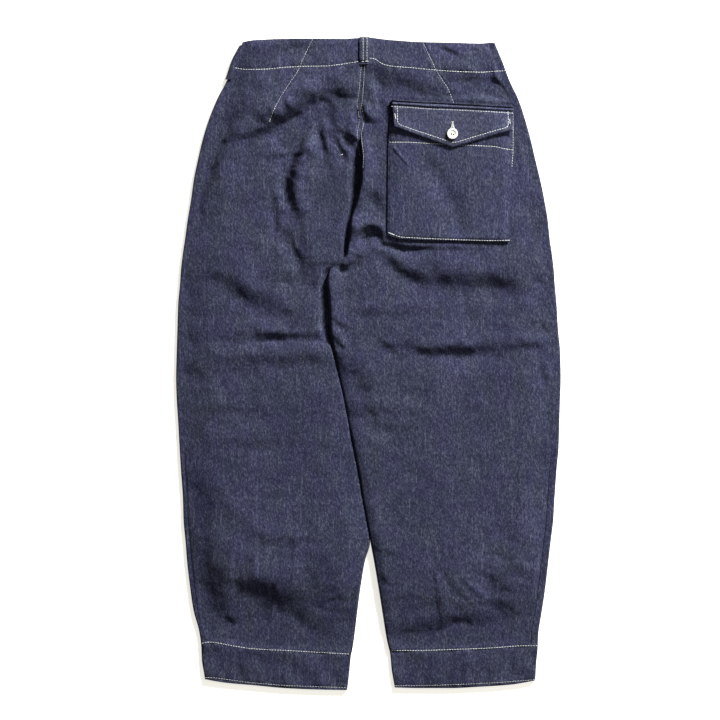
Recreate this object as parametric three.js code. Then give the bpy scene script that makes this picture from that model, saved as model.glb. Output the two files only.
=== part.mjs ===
import * as THREE from 'three';

// Wide denim trousers, laid flat on a table with the back up. +Y points to the waist, +X to the
// wearer's right, and Z is zero on the table. All sizes are millimetres.

// Driving dimensions of the cloth
const CLOTH = 1.4;
const SEAM_GAP = 0.3;
const LAY_GAP = 0.4;
const EDGE_HEIGHT = 4.4;
const EDGE_RADIUS = EDGE_HEIGHT / 2;
const TURNED_EDGE_HEIGHT = 3.2;
const LOWEST_BACK_TOP = 2 * CLOTH + LAY_GAP;
const SEAT_FULLNESS = 5.0;
const LEG_FULLNESS = 4.0;
const KNEE_FULLNESS = { left: 4.5, right: 2.6 };
const KNEE_LEVEL = -268;
const KNEE_REACH = 72;
const SIDE_ROLL = 48;
const INNER_ROLL = { left: 34, right: 16 };
const TURN_WIDTH = 5;
const SETTLE_ROOM = 0.6;
const HEM_FADE = 55;
const WAIST_FADE = 45;
const WAIST_SHARE = 0.4;
const LEFT_SEAM_INSET = 6;
const RIGHT_SEAM_INSET = 10;

// Driving dimensions of the pieces sewn on
const FACE_CLOTH = 1.4;
const GUSSET_WIDTH = 13;
const GUSSET_THICKNESS = 2.6;
const FLAP_CLOTH = 2.0;
const FLAP_RISE_LENGTH = 9;
const BUTTON_RADIUS = 8;
const BUTTON_RIM_RADIUS = 6.4;
const BUTTON_WELL_RADIUS = 3.6;
const BUTTON_THICKNESS = 2.8;
const BUTTON_WELL_DEPTH = 1.0;
const LOOP_WIDTH = 15;
const LOOP_CLOTH = 2.2;
const LOOP_ARCH = 1.8;
const LOOP_LENGTH = 40;
const SIDE_LOOP_LENGTH = 50;
const SIDE_LOOP_REACH = 5;
const SIDE_LOOP_TURN = 0.62 * Math.PI;

// The level of the waist edge and of the cuff seams before their own curves are added
const WAIST_LEVEL = 475;
const CUFF_SEAM_LEVEL = -418;
const HEM_LEVEL = -474;
const CROTCH_LEVEL = 60;

// The outline of both legs as they lie, a row for each section across the garment. The inner
// columns follow the centre back seam down to the crotch and then the inner edge of each leg.
const SECTIONS = [
  { y: 490, leftOuter: -181, leftInner: -6, rightInner: -6, rightOuter: 180 },
  { y: 470, leftOuter: -187, leftInner: -6, rightInner: -6, rightOuter: 188 },
  { y: 446, leftOuter: -199, leftInner: -8, rightInner: -8, rightOuter: 198 },
  { y: 417, leftOuter: -209, leftInner: -10, rightInner: -10, rightOuter: 208 },
  { y: 388, leftOuter: -223, leftInner: -12, rightInner: -12, rightOuter: 221 },
  { y: 358, leftOuter: -235, leftInner: -11, rightInner: -11, rightOuter: 231 },
  { y: 329, leftOuter: -244, leftInner: -12, rightInner: -12, rightOuter: 239 },
  { y: 299, leftOuter: -251, leftInner: -10, rightInner: -10, rightOuter: 246 },
  { y: 270, leftOuter: -257, leftInner: -12, rightInner: -12, rightOuter: 253 },
  { y: 241, leftOuter: -261, leftInner: -18, rightInner: -18, rightOuter: 259 },
  { y: 211, leftOuter: -266, leftInner: -27, rightInner: -27, rightOuter: 264 },
  { y: 182, leftOuter: -270, leftInner: -30, rightInner: -30, rightOuter: 267 },
  { y: 162, leftOuter: -273, leftInner: -33, rightInner: -33, rightOuter: 270 },
  { y: 136, leftOuter: -276, leftInner: -58, rightInner: -58, rightOuter: 273 },
  { y: 120, leftOuter: -277, leftInner: -62, rightInner: -62, rightOuter: 274 },
  { y: 86, leftOuter: -280, leftInner: -59, rightInner: -59, rightOuter: 277 },
  { y: 52, leftOuter: -281, leftInner: -58, rightInner: -58, rightOuter: 279 },
  { y: 19, leftOuter: -282, leftInner: -52, rightInner: -52, rightOuter: 282 },
  { y: -21, leftOuter: -283, leftInner: -43, rightInner: -43, rightOuter: 283 },
  { y: -53, leftOuter: -282, leftInner: -36, rightInner: -36, rightOuter: 282 },
  { y: -84, leftOuter: -280, leftInner: -30, rightInner: -30, rightOuter: 281 },
  { y: -121, leftOuter: -278, leftInner: -23, rightInner: -23, rightOuter: 280 },
  { y: -155, leftOuter: -276, leftInner: -16, rightInner: -16, rightOuter: 277 },
  { y: -197, leftOuter: -273, leftInner: -9, rightInner: -9, rightOuter: 274 },
  { y: -230, leftOuter: -272, leftInner: -3, rightInner: -3, rightOuter: 272 },
  { y: -263, leftOuter: -269, leftInner: 2, rightInner: 3, rightOuter: 268 },
  { y: -289, leftOuter: -267, leftInner: -5, rightInner: 8, rightOuter: 265 },
  { y: -324, leftOuter: -263, leftInner: -11, rightInner: 14, rightOuter: 261 },
  { y: -367, leftOuter: -257, leftInner: -17, rightInner: 21, rightOuter: 255 },
  { y: -403, leftOuter: -249, leftInner: -22, rightInner: 27, rightOuter: 250 },
  { y: -426, leftOuter: -246, leftInner: -26, rightInner: 32, rightOuter: 249 },
  { y: -447, leftOuter: -245, leftInner: -28, rightInner: 34, rightOuter: 247 },
  { y: -465, leftOuter: -242, leftInner: -30, rightInner: 37, rightOuter: 246 },
  { y: -490, leftOuter: -238, leftInner: -34, rightInner: 42, rightOuter: 243 },
];

// The edges that run across the garment
const WAIST_EDGE = [
  { x: -200, y: 468 }, { x: -185, y: 473 }, { x: -167, y: 476 }, { x: -100, y: 478 },
  { x: -35, y: 477.6 }, { x: -14, y: 479 }, { x: 2, y: 479.5 }, { x: 17, y: 477.6 },
  { x: 32, y: 476 }, { x: 76, y: 473 },
  { x: 120, y: 472 }, { x: 164, y: 471 }, { x: 180, y: 472 }, { x: 200, y: 470 },
];
const CUFF_SEAM = {
  left: [
    { x: -255, y: -408 }, { x: -236, y: -407 }, { x: -201, y: -412 }, { x: -149, y: -418 },
    { x: -108, y: -420 }, { x: -74, y: -422 }, { x: -20, y: -425 },
  ],
  right: [
    { x: 22, y: -420 }, { x: 82, y: -420 }, { x: 137, y: -418 }, { x: 175, y: -416 },
    { x: 222, y: -413 }, { x: 256, y: -412 },
  ],
};
const HEM = {
  left: [
    { x: -250, y: -462 }, { x: -240, y: -464 }, { x: -211, y: -469 }, { x: -167, y: -473 },
    { x: -123, y: -477 }, { x: -79, y: -479 }, { x: -30, y: -480 },
  ],
  right: [
    { x: 35, y: -476 }, { x: 76, y: -477 }, { x: 120, y: -477 }, { x: 164, y: -475 },
    { x: 208, y: -472 }, { x: 250, y: -465 },
  ],
};

// The largest folds, a row for each. A fold runs from one point through a middle one to its end.
// Its depth is how far the cloth dips along that line, and 'high' is the side on which the cloth
// stands up beside the dip: 'both' is an even trough and 'line' a ridge on the line itself.
const FOLDS = [
  { on: 'left', from: [-54, 405], via: [-112, 371], to: [-177, 336], width: 15, depth: 2.2, high: 'waist' },
  { on: 'left', from: [-184, 371], via: [-216, 311], to: [-246, 222], width: 12, depth: 1.8, high: 'both' },
  { on: 'left', from: [-113, 280], via: [-109, 255], to: [-104, 230], width: 9, depth: 1.0, high: 'both' },
  { on: 'left', from: [-48, 329], via: [-38, 316], to: [-27, 304], width: 8, depth: 1.4, high: 'waist' },
  { on: 'left', from: [-20, 285], via: [-30, 225], to: [-42, 165], width: 13, depth: 1.8, high: 'left' },
  { on: 'left', from: [-181, 38], via: [-120, 37], to: [-60, 38], width: 8, depth: 2.0, high: 'both' },
  { on: 'left', from: [-231, -6], via: [-152, -1], to: [-75, 7], width: 14, depth: 1.5, high: 'both' },
  { on: 'left', from: [-204, 110], via: [-163, 94], to: [-122, 76], width: 11, depth: 1.5, high: 'waist' },
  { on: 'left', from: [-245, -181], via: [-217, -202], to: [-193, -225], width: 14, depth: 1, high: 'waist' },
  { on: 'left', from: [-234, -290], via: [-160, -325], to: [-70, -328], width: 18, depth: 2, high: 'waist' },
  { on: 'right', from: [2, 292], via: [-4, 230], to: [-16, 162], width: 11, depth: 4.2, high: 'line' },
  { on: 'right', from: [5, 424], via: [15, 398], to: [5, 378], width: 8, depth: 1.5, high: 'left' },
  { on: 'right', from: [-2, 361], via: [4, 355], to: [12, 348], width: 9, depth: 1.8, high: 'waist' },
  { on: 'right', from: [163, 425], via: [205, 406], to: [221, 376], width: 10, depth: 2.6, high: 'both' },
  { on: 'right', from: [-20, 188], via: [22, 186], to: [62, 172], width: 9, depth: 2.4, high: 'waist' },
  { on: 'right', from: [10, 162], via: [38, 142], to: [78, 129], width: 9, depth: 2.2, high: 'waist' },
  { on: 'right', from: [78, 129], via: [150, 123], to: [233, 127], width: 12, depth: 1.4, high: 'waist' },
  { on: 'right', from: [50, 24], via: [140, 20], to: [245, 20], width: 9, depth: 1.8, high: 'both' },
  { on: 'right', from: [17, 42], via: [26, 36], to: [38, 27], width: 8, depth: 1.4, high: 'waist' },
  { on: 'right', from: [238, 68], via: [252, 60], to: [266, 50], width: 8, depth: 1.3, high: 'waist' },
  { on: 'right', from: [-52, 36], via: [-44, 27], to: [-34, 17], width: 8, depth: 1.4, high: 'waist' },
  { on: 'right', from: [-24, -62], via: [-6, -70], to: [16, -75], width: 12, depth: 1.8, high: 'both' },
  { on: 'right', from: [66, -392], via: [140, -365], to: [203, -297], width: 13, depth: 1.4, high: 'both' },
];
const FOLD_STEPS = 10;
const RISE_SHARE = 0.75;

// The patch pocket with its bellows side, seen from above. The left edge leans a little.
const POCKET = {
  top: [{ x: 30, y: 366 }, { x: 215, y: 357 }],
  bottom: [{ x: 20, y: 192 }, { x: 47, y: 184 }, { x: 81, y: 182 }, { x: 176, y: 180 }, { x: 215, y: 179 }],
  left: [{ y: 380, x: 33 }, { y: 307, x: 29 }, { y: 180, x: 28 }],
  right: [{ y: 375, x: 213 }, { y: 313, x: 212 }, { y: 227, x: 209 }, { y: 175, x: 207 }],
};
const FLAP = {
  top: [{ x: 30, y: 386 }, { x: 216, y: 376 }],
  bottom: [{ x: 33, y: 350 }, { x: 38, y: 349 }, { x: 123, y: 317 }, { x: 207, y: 343 }, { x: 213, y: 344 }],
  left: [{ y: 386, x: 34 }, { y: 340, x: 38 }],
  right: [{ y: 375, x: 213 }, { y: 340, x: 212 }],
};
const PRESSED = { left: 26, right: 214, bottom: 180, top: 386, fade: 10 };
const FLAP_BUTTON = { x: 123, y: 337 };
const BACK_LOOP = { x: -6, top: 480 };
const SIDE_LOOP_TOP = 468;

const DENIM = { color: '#42445a', roughness: 0.92, metalness: 0 };
const BUTTON_FINISH = { color: '#e8e6dc', roughness: 0.35, metalness: 0 };

// Smooth step from 0 at the start to 1 at the end
function smooth(t) {
  const clamped = Math.min(Math.max(t, 0), 1);
  return clamped * clamped * (3 - 2 * clamped);
}

// A smooth curve through the rows of a table, from one column to another, that never overshoots
function curveThrough(rows, input, output) {
  const sorted = [...rows].sort((a, b) => a[input] - b[input]);
  const at = sorted.map((row) => row[input]);
  const value = sorted.map((row) => row[output]);
  const slope = at.slice(1).map((a, i) => (value[i + 1] - value[i]) / (a - at[i]));
  const tangent = value.map((_, i) => {
    if (i === 0 || i === value.length - 1) return slope[Math.min(i, slope.length - 1)];
    if (slope[i - 1] * slope[i] <= 0) return 0;
    return (2 * slope[i - 1] * slope[i]) / (slope[i - 1] + slope[i]);
  });
  return (query) => {
    const inside = Math.min(Math.max(query, at[0]), at[at.length - 1]);
    let i = 0;
    while (i < at.length - 2 && inside > at[i + 1]) i += 1;
    const span = at[i + 1] - at[i];
    const t = (inside - at[i]) / span;
    const startWeight = (1 + 2 * t) * (1 - t) ** 2;
    const endWeight = t * t * (3 - 2 * t);
    const startTangent = t * (1 - t) ** 2 * span;
    const endTangent = -t * t * (1 - t) * span;
    return startWeight * value[i] + endWeight * value[i + 1]
      + startTangent * tangent[i] + endTangent * tangent[i + 1];
  };
}

const outerEdge = {
  left: curveThrough(SECTIONS, 'y', 'leftOuter'),
  right: curveThrough(SECTIONS, 'y', 'rightOuter'),
};
const innerEdge = {
  left: curveThrough(SECTIONS, 'y', 'leftInner'),
  right: curveThrough(SECTIONS, 'y', 'rightInner'),
};
const waistEdge = curveThrough(WAIST_EDGE, 'x', 'y');
const cuffSeam = {
  left: curveThrough(CUFF_SEAM.left, 'x', 'y'),
  right: curveThrough(CUFF_SEAM.right, 'x', 'y'),
};
const hem = {
  left: curveThrough(HEM.left, 'x', 'y'),
  right: curveThrough(HEM.right, 'x', 'y'),
};
const seamInset = { left: LEFT_SEAM_INSET, right: RIGHT_SEAM_INSET };
const outward = { left: -1, right: 1 };

const HIGH_SIDE = {
  waist: new THREE.Vector2(0, 1),
  left: new THREE.Vector2(-1, 0),
};

// The line of each fold as a short run of straight pieces
const foldLines = FOLDS.map((fold) => {
  const curve = new THREE.QuadraticBezierCurve(
    new THREE.Vector2(...fold.from),
    new THREE.Vector2(
      2 * fold.via[0] - (fold.from[0] + fold.to[0]) / 2,
      2 * fold.via[1] - (fold.from[1] + fold.to[1]) / 2,
    ),
    new THREE.Vector2(...fold.to),
  );
  return { ...fold, points: curve.getPoints(FOLD_STEPS) };
});

// Distance from a fold's line, the place along it, and whether the point is on its high side
function placeOnFold(fold, x, y) {
  let best = { distance: Infinity, along: 0, side: 1 };
  for (let i = 0; i < FOLD_STEPS; i += 1) {
    const start = fold.points[i];
    const end = fold.points[i + 1];
    const dx = end.x - start.x;
    const dy = end.y - start.y;
    const t = Math.min(Math.max(((x - start.x) * dx + (y - start.y) * dy) / (dx * dx + dy * dy), 0), 1);
    const offX = x - start.x - t * dx;
    const offY = y - start.y - t * dy;
    const distance = Math.hypot(offX, offY);
    if (distance < best.distance) {
      const high = HIGH_SIDE[fold.high];
      const side = high ? Math.sign(offX * high.x + offY * high.y) : 1;
      best = { distance, along: (i + t) / FOLD_STEPS, side };
    }
  }
  return best;
}

// How far the folds lift or dip the back at a point
function foldRelief(side, x, y) {
  let relief = 0;
  for (const fold of foldLines) {
    if (fold.on !== side) continue;
    const place = placeOnFold(fold, x, y);
    const off = place.distance / fold.width;
    if (off > 4) continue;
    const taper = smooth(place.along / 0.25) * smooth((1 - place.along) / 0.25);
    const strength = fold.depth * (0.35 + 0.65 * taper);
    if (fold.high === 'line') {
      relief += strength * Math.exp(-off * off);
      continue;
    }
    relief -= strength * Math.exp(-off * off);
    const shoulder = Math.exp(-((off - 1.6) ** 2));
    const share = fold.high === 'both' ? RISE_SHARE / 2 : RISE_SHARE * (place.side > 0 ? 1 : 0);
    relief += strength * share * shoulder;
  }
  return relief;
}

// How much of a fold is left at a point: the pocket lies flat and presses the cloth under it
function foldsLeft(side, x, y) {
  if (side === 'left') return 1;
  const acrossGap = Math.max(PRESSED.left - x, x - PRESSED.right, 0);
  const alongGap = Math.max(PRESSED.bottom - y, y - PRESSED.top, 0);
  return smooth(Math.hypot(acrossGap, alongGap) / PRESSED.fade);
}

// Height of the upper face of a back at a point
function backTop(side, x, y) {
  const fromSide = Math.abs(outerEdge[side](y) - x) - seamInset[side];
  const fromInner = Math.abs(x - innerEdge[side](y));
  const toCuff = smooth((y - cuffSeam[side](x)) / HEM_FADE);
  const toWaist = WAIST_SHARE + (1 - WAIST_SHARE) * smooth((waistEdge(x) - y) / WAIST_FADE);
  const onBody = smooth((y - CROTCH_LEVEL) / 120);
  const knee = KNEE_FULLNESS[side] * Math.exp(-(((y - KNEE_LEVEL) / KNEE_REACH) ** 2));
  const fullness = LEG_FULLNESS + (SEAT_FULLNESS - LEG_FULLNESS) * onBody + knee;
  const sideRise = smooth(fromSide / SIDE_ROLL);
  const innerRise = Math.max(onBody, smooth(fromInner / INNER_ROLL[side]));
  const settled = toCuff * toWaist * sideRise;
  const turnShare = (1 - smooth(fromInner / TURN_WIDTH)) * (1 - 0.6 * onBody);
  const turned = (EDGE_HEIGHT - TURNED_EDGE_HEIGHT) * turnShare;
  const nearEnds = smooth((y - cuffSeam[side](x)) / 20) * smooth((waistEdge(x) - y) / 12);
  const folds = foldRelief(side, x, y) * smooth(fromSide / 12) * nearEnds * foldsLeft(side, x, y);
  const height = EDGE_HEIGHT + fullness * settled * innerRise - turned + folds;
  const settling = LOWEST_BACK_TOP + SETTLE_ROOM;
  if (height > settling) return height;
  return LOWEST_BACK_TOP + SETTLE_ROOM * Math.exp((height - settling) / SETTLE_ROOM);
}

// Levels from the waist to the cuff seam, closer together where the folds are
function levels() {
  const list = [];
  const fine = 12.5;
  const coarse = 23;
  for (let y = WAIST_LEVEL; y > 5; y -= fine) list.push(y);
  const rest = list[list.length - 1] - CUFF_SEAM_LEVEL;
  const count = Math.round(rest / coarse);
  const last = list[list.length - 1];
  for (let i = 1; i <= count; i += 1) list.push(last - (rest * i) / count);
  return list;
}

// A point's own level, once the curves of the waist edge and the cuff seam are added
function levelAt(side, x, y) {
  const nearWaist = 1 - smooth((WAIST_LEVEL - y) / 90);
  const nearCuff = 1 - smooth((y - CUFF_SEAM_LEVEL) / 80);
  const waistShift = (waistEdge(x) - WAIST_LEVEL) * nearWaist;
  const cuffShift = (cuffSeam[side](x) + SEAM_GAP - CUFF_SEAM_LEVEL) * nearCuff;
  return y + waistShift + cuffShift;
}

// One closed solid between an outer and an inner grid of points. A tube closes on itself
// across its columns, and a flat piece gets a rim all round.
function solidBetween(outer, inner, isTube = false) {
  const rows = outer.length;
  const columns = outer[0].length;
  const half = rows * columns;
  const positions = [...outer.flat(), ...inner.flat()].flat();
  const outerAt = (i, j) => i * columns + (j % columns);
  const innerAt = (i, j) => half + outerAt(i, j);
  const index = [];
  const quad = (a, b, c, d) => index.push(a, b, c, a, c, d);
  const spans = isTube ? columns : columns - 1;
  for (let i = 0; i < rows - 1; i += 1) {
    for (let j = 0; j < spans; j += 1) {
      quad(outerAt(i, j), outerAt(i + 1, j), outerAt(i + 1, j + 1), outerAt(i, j + 1));
      quad(innerAt(i, j), innerAt(i, j + 1), innerAt(i + 1, j + 1), innerAt(i + 1, j));
    }
  }
  for (let j = 0; j < spans; j += 1) {
    quad(outerAt(0, j), outerAt(0, j + 1), innerAt(0, j + 1), innerAt(0, j));
    const last = rows - 1;
    quad(outerAt(last, j + 1), outerAt(last, j), innerAt(last, j), innerAt(last, j + 1));
  }
  for (let i = 0; i < rows - 1 && !isTube; i += 1) {
    quad(outerAt(i + 1, 0), outerAt(i, 0), innerAt(i, 0), innerAt(i + 1, 0));
    const last = columns - 1;
    quad(outerAt(i, last), outerAt(i + 1, last), innerAt(i + 1, last), innerAt(i, last));
  }
  return closedGeometry(positions, index);
}

// A geometry whose faces point out, whichever way round its grids were given
function closedGeometry(positions, index) {
  const corner = [new THREE.Vector3(), new THREE.Vector3(), new THREE.Vector3()];
  let volume = 0;
  for (let i = 0; i < index.length; i += 3) {
    corner.forEach((point, k) => point.fromArray(positions, 3 * index[i + k]));
    volume += corner[0].dot(corner[1].clone().cross(corner[2]));
  }
  const outwards = volume > 0 ? index : index.slice().reverse();
  const geometry = new THREE.BufferGeometry();
  geometry.setAttribute('position', new THREE.Float32BufferAttribute(positions, 3));
  geometry.setIndex(outwards);
  geometry.computeVertexNormals();
  return geometry;
}

function sewn(name, geometry, finish = DENIM) {
  const mesh = new THREE.Mesh(geometry, new THREE.MeshStandardMaterial(finish));
  mesh.name = name;
  return mesh;
}

// Fractions across a panel, closer together near its two edges
function fractions(count, crowding) {
  return Array.from({ length: count + 1 }, (_, i) => {
    const t = i / count;
    return t + crowding * Math.sin(2 * Math.PI * t) * -0.159;
  });
}

const BACK_SHARES = fractions(15, 0.55);
const FRONT_STEPS = 4;
const TURN_STEPS = 4;
const BAND_STEPS = 3;

// Where the columns of a back stand across the garment, from its inner edge to the side seam
function backStops(side, level) {
  const start = innerEdge[side](level) + outward[side] * (SEAM_GAP / 2);
  const end = outerEdge[side](level) - outward[side] * (seamInset[side] + SEAM_GAP);
  return BACK_SHARES.map((share) => start + (end - start) * share);
}

// Where the flat columns under the garment stand, between the centres of its two folded edges
function flatStops(side, level) {
  const start = innerEdge[side](level) + outward[side] * EDGE_RADIUS;
  const end = outerEdge[side](level) - outward[side] * EDGE_RADIUS;
  return Array.from({ length: FRONT_STEPS + 1 }, (_, i) => start + ((end - start) * i) / FRONT_STEPS);
}

// The back of one leg and seat: a single layer from the centre back and inner leg to the side seam
function backPanel(side) {
  const layer = (drop) => levels().map((level) => backStops(side, level).map((x) => {
    const y = levelAt(side, x, level);
    return [x, y, backTop(side, x, y) - drop];
  }));
  return solidBetween(layer(0), layer(CLOTH));
}

// The front of one leg: flat under the back, then turned up round the folded side edge and
// over the top as far as the side seam
function frontPanel(side) {
  const out = outward[side];
  const layer = (radius) => levels().map((level) => {
    const flat = flatStops(side, level);
    const centre = flat[flat.length - 1];
    const low = EDGE_RADIUS - radius;
    const path = [[innerEdge[side](level) + out * (SEAM_GAP / 2), low]];
    flat.slice(0, -1).forEach((x) => path.push([x, low]));
    for (let i = 0; i <= TURN_STEPS; i += 1) {
      const angle = -Math.PI / 2 + (Math.PI * i) / TURN_STEPS;
      path.push([centre + out * radius * Math.cos(angle), EDGE_RADIUS + radius * Math.sin(angle)]);
    }
    path.push([outerEdge[side](level) - out * seamInset[side], EDGE_RADIUS + radius]);
    return path.map(([x, z]) => [x, levelAt(side, x, level), z]);
  });
  return solidBetween(layer(EDGE_RADIUS), layer(EDGE_RADIUS - CLOTH));
}

// The cuff: a band that goes round the end of the leg as a flattened tube
function cuff(side) {
  const out = outward[side];
  const ring = (level, radius) => {
    const flat = flatStops(side, level);
    const near = flat[0];
    const far = flat[flat.length - 1];
    const turn = (centre, from) => Array.from({ length: TURN_STEPS }, (_, i) => {
      const angle = from + (Math.PI * i) / TURN_STEPS;
      return [centre + out * radius * Math.cos(angle), EDGE_RADIUS + radius * Math.sin(angle)];
    });
    const seamEnd = outerEdge[side](level) - out * seamInset[side];
    const upper = [far, seamEnd, ...backStops(side, level).slice(1).reverse()];
    return [
      ...flat.slice(0, -1).map((x) => [x, EDGE_RADIUS - radius]),
      ...turn(far, -Math.PI / 2),
      ...upper.map((x) => [x, EDGE_RADIUS + radius]),
      ...turn(near, Math.PI / 2),
    ];
  };
  const layer = (radius) => Array.from({ length: BAND_STEPS + 1 }, (_, i) => {
    const share = i / BAND_STEPS;
    const level = CUFF_SEAM_LEVEL + (HEM_LEVEL - CUFF_SEAM_LEVEL) * share;
    return ring(level, radius).map(([x, z]) => {
      const top = cuffSeam[side](x);
      return [x, top + (hem[side](x) - top) * share, z];
    });
  });
  return solidBetween(layer(EDGE_RADIUS), layer(EDGE_RADIUS - CLOTH), true);
}

// Place a share across and a share down inside an outline with four curved sides
function insideOutline(outline) {
  const top = curveThrough(outline.top, 'x', 'y');
  const bottom = curveThrough(outline.bottom, 'x', 'y');
  const left = curveThrough(outline.left, 'y', 'x');
  const right = curveThrough(outline.right, 'y', 'x');
  return (across, down) => {
    let x = left(300) + (right(300) - left(300)) * across;
    let y = 300;
    for (let i = 0; i < 3; i += 1) {
      y = top(x) + (bottom(x) - top(x)) * down;
      x = left(y) + (right(y) - left(y)) * across;
    }
    return [x, y];
  };
}

// Heights of the layers of the pocket above the back
const onBack = (x, y) => backTop('right', x, y) + LAY_GAP;
const gussetTop = (x, y) => onBack(x, y) + GUSSET_THICKNESS;
const faceBottom = (x, y) => gussetTop(x, y) + SEAM_GAP;
const faceTop = (x, y) => faceBottom(x, y) + FACE_CLOTH;

// The front of the pocket, a flat piece that rests on the folded gusset
function pocketFace() {
  const place = insideOutline(POCKET);
  const down = fractions(9, 0.3);
  const across = fractions(10, 0.4);
  const layer = (height) => down.map((v) => across.map((u) => {
    const [x, y] = place(u, v);
    return [x, y, height(x, y)];
  }));
  return solidBetween(layer(faceTop), layer(faceBottom));
}

// The bellows gusset: a strip folded flat under the two sides and the bottom of the pocket
function pocketGusset() {
  const place = insideOutline(POCKET);
  const sideSteps = 8;
  const bottomSteps = 8;
  const rimInset = 1.2;
  const route = [];
  for (let i = 0; i < sideSteps; i += 1) route.push({ across: 0, down: i / sideSteps, inX: 1, inY: 0 });
  for (let i = 0; i <= bottomSteps; i += 1) {
    const t = i / bottomSteps;
    const inX = t === 0 ? 1 : Number(t === 1) * -1;
    route.push({ across: t, down: 1, inX, inY: 1 });
  }
  for (let i = sideSteps - 1; i >= 0; i -= 1) route.push({ across: 1, down: i / sideSteps, inX: -1, inY: 0 });
  const strip = (height) => route.map((stop) => [rimInset, rimInset + GUSSET_WIDTH].map((inset) => {
    const [x, y] = place(stop.across, stop.down);
    const movedX = x + stop.inX * inset;
    const movedY = y + stop.inY * inset;
    return [movedX, movedY, height(movedX, movedY)];
  }));
  return solidBetween(strip(gussetTop), strip(onBack));
}

const flapSeam = curveThrough(FLAP.top, 'x', 'y');

// The flap lies on the back at its seam and rises over the mouth of the pocket
function flapBottom(x, y) {
  const rise = faceTop(x, y) + LAY_GAP - onBack(x, y);
  return onBack(x, y) + rise * smooth((flapSeam(x) - y) / FLAP_RISE_LENGTH);
}

const flapTop = (x, y) => flapBottom(x, y) + FLAP_CLOTH;

function pocketFlap() {
  const place = insideOutline(FLAP);
  const down = [0, 0.1, 0.2, 0.32, 0.5, 0.75, 1];
  const across = [0, 0.03, 0.12, 0.24, 0.37, 0.497, 0.63, 0.76, 0.88, 0.97, 1];
  const layer = (height) => down.map((v) => across.map((u) => {
    const [x, y] = place(u, v);
    return [x, y, height(x, y)];
  }));
  return solidBetween(layer(flapTop), layer(flapBottom));
}

// The button: a turned disc with a sunken eye for its thread
function flapButton() {
  const eyeLevel = BUTTON_THICKNESS - BUTTON_WELL_DEPTH;
  const profile = [
    [0, 0], [BUTTON_RIM_RADIUS, 0], [BUTTON_RADIUS, 0.9], [BUTTON_RADIUS, 1.7],
    [BUTTON_RIM_RADIUS, BUTTON_THICKNESS], [BUTTON_WELL_RADIUS, BUTTON_THICKNESS - 0.2],
    [BUTTON_WELL_RADIUS - 0.8, eyeLevel], [0, eyeLevel],
  ].map(([radius, height]) => new THREE.Vector2(radius, height));
  const geometry = new THREE.LatheGeometry(profile, 24);
  geometry.rotateX(Math.PI / 2);
  const { x, y } = FLAP_BUTTON;
  geometry.translate(x, y, highestUnder(x, y, BUTTON_RADIUS) + SEAM_GAP);
  return geometry;
}

// The highest point of the flap under a round piece
function highestUnder(x, y, radius) {
  let highest = flapTop(x, y);
  for (let angle = 0; angle < 2 * Math.PI; angle += Math.PI / 6) {
    for (const reach of [radius / 2, radius]) {
      highest = Math.max(highest, flapTop(x + reach * Math.cos(angle), y + reach * Math.sin(angle)));
    }
  }
  return highest;
}

// The belt loop on the centre back seam, sewn down at both ends and arched between them
function backLoop() {
  const steps = 10;
  const halves = [-0.5, -0.2, 0.2, 0.5];
  const seatHeight = (y) => {
    const around = [-9, -4, 0, 4, 9].map((dx) => {
      const x = BACK_LOOP.x + dx;
      return backTop(x < innerEdge.left(y) ? 'left' : 'right', x, y);
    });
    return Math.max(...around) + LAY_GAP;
  };
  const rows = (lift) => Array.from({ length: steps + 1 }, (_, i) => {
    const t = i / steps;
    const y = BACK_LOOP.top - LOOP_LENGTH * t;
    const arch = LOOP_ARCH * smooth(t / 0.25) * smooth((1 - t) / 0.25);
    return halves.map((h) => [BACK_LOOP.x + LOOP_WIDTH * h, y, seatHeight(y) + arch + lift]);
  });
  return solidBetween(rows(LOOP_CLOTH), rows(0));
}

// The belt loop on the left side lies folded round the side edge, so only its edge shows
function sideLoop() {
  const steps = 8;
  const turnSteps = 6;
  const innerRadius = EDGE_RADIUS + SEAM_GAP;
  const outerRadius = EDGE_RADIUS + LOOP_CLOTH;
  const rows = (radius) => Array.from({ length: steps + 1 }, (_, i) => {
    const y = SIDE_LOOP_TOP - (SIDE_LOOP_LENGTH * i) / steps;
    const centre = outerEdge.left(y) + EDGE_RADIUS;
    const points = [[centre + SIDE_LOOP_REACH, y, EDGE_RADIUS + radius]];
    for (let k = 0; k <= turnSteps; k += 1) {
      const angle = Math.PI / 2 + (SIDE_LOOP_TURN * k) / turnSteps;
      points.push([centre + radius * Math.cos(angle), y, EDGE_RADIUS + radius * Math.sin(angle)]);
    }
    return points;
  });
  return solidBetween(rows(outerRadius), rows(innerRadius));
}

const trousers = new THREE.Group();
for (const side of ['left', 'right']) {
  trousers.add(sewn(`${side}_back`, backPanel(side)));
  trousers.add(sewn(`${side}_front`, frontPanel(side)));
  trousers.add(sewn(`${side}_cuff`, cuff(side)));
}
trousers.add(sewn('pocket_gusset', pocketGusset()));
trousers.add(sewn('pocket_face', pocketFace()));
trousers.add(sewn('pocket_flap', pocketFlap()));
trousers.add(sewn('flap_button', flapButton(), BUTTON_FINISH));
trousers.add(sewn('centre_back_loop', backLoop()));
trousers.add(sewn('left_side_loop', sideLoop()));

// The middle of the box round the garment is set over the origin
trousers.updateMatrixWorld(true);
const box = new THREE.Box3().setFromObject(trousers);
const middle = box.getCenter(new THREE.Vector3());
trousers.position.set(-middle.x, -middle.y, -box.min.z);

export default trousers;
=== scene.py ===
"""Wide denim trousers laid flat with the back up: the finished cloth, the sewing and the button.

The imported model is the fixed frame. Every cloth piece is a thin closed shell on the form of its
own solid, with the finer creases, pressed seams and sewing that the solids leave out. Lengths are
millimetres in the tables below and become metres where a mesh is made.
"""

import logging
import math
from dataclasses import dataclass, field
from enum import Enum
from typing import Callable, NamedTuple, Sequence

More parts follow.
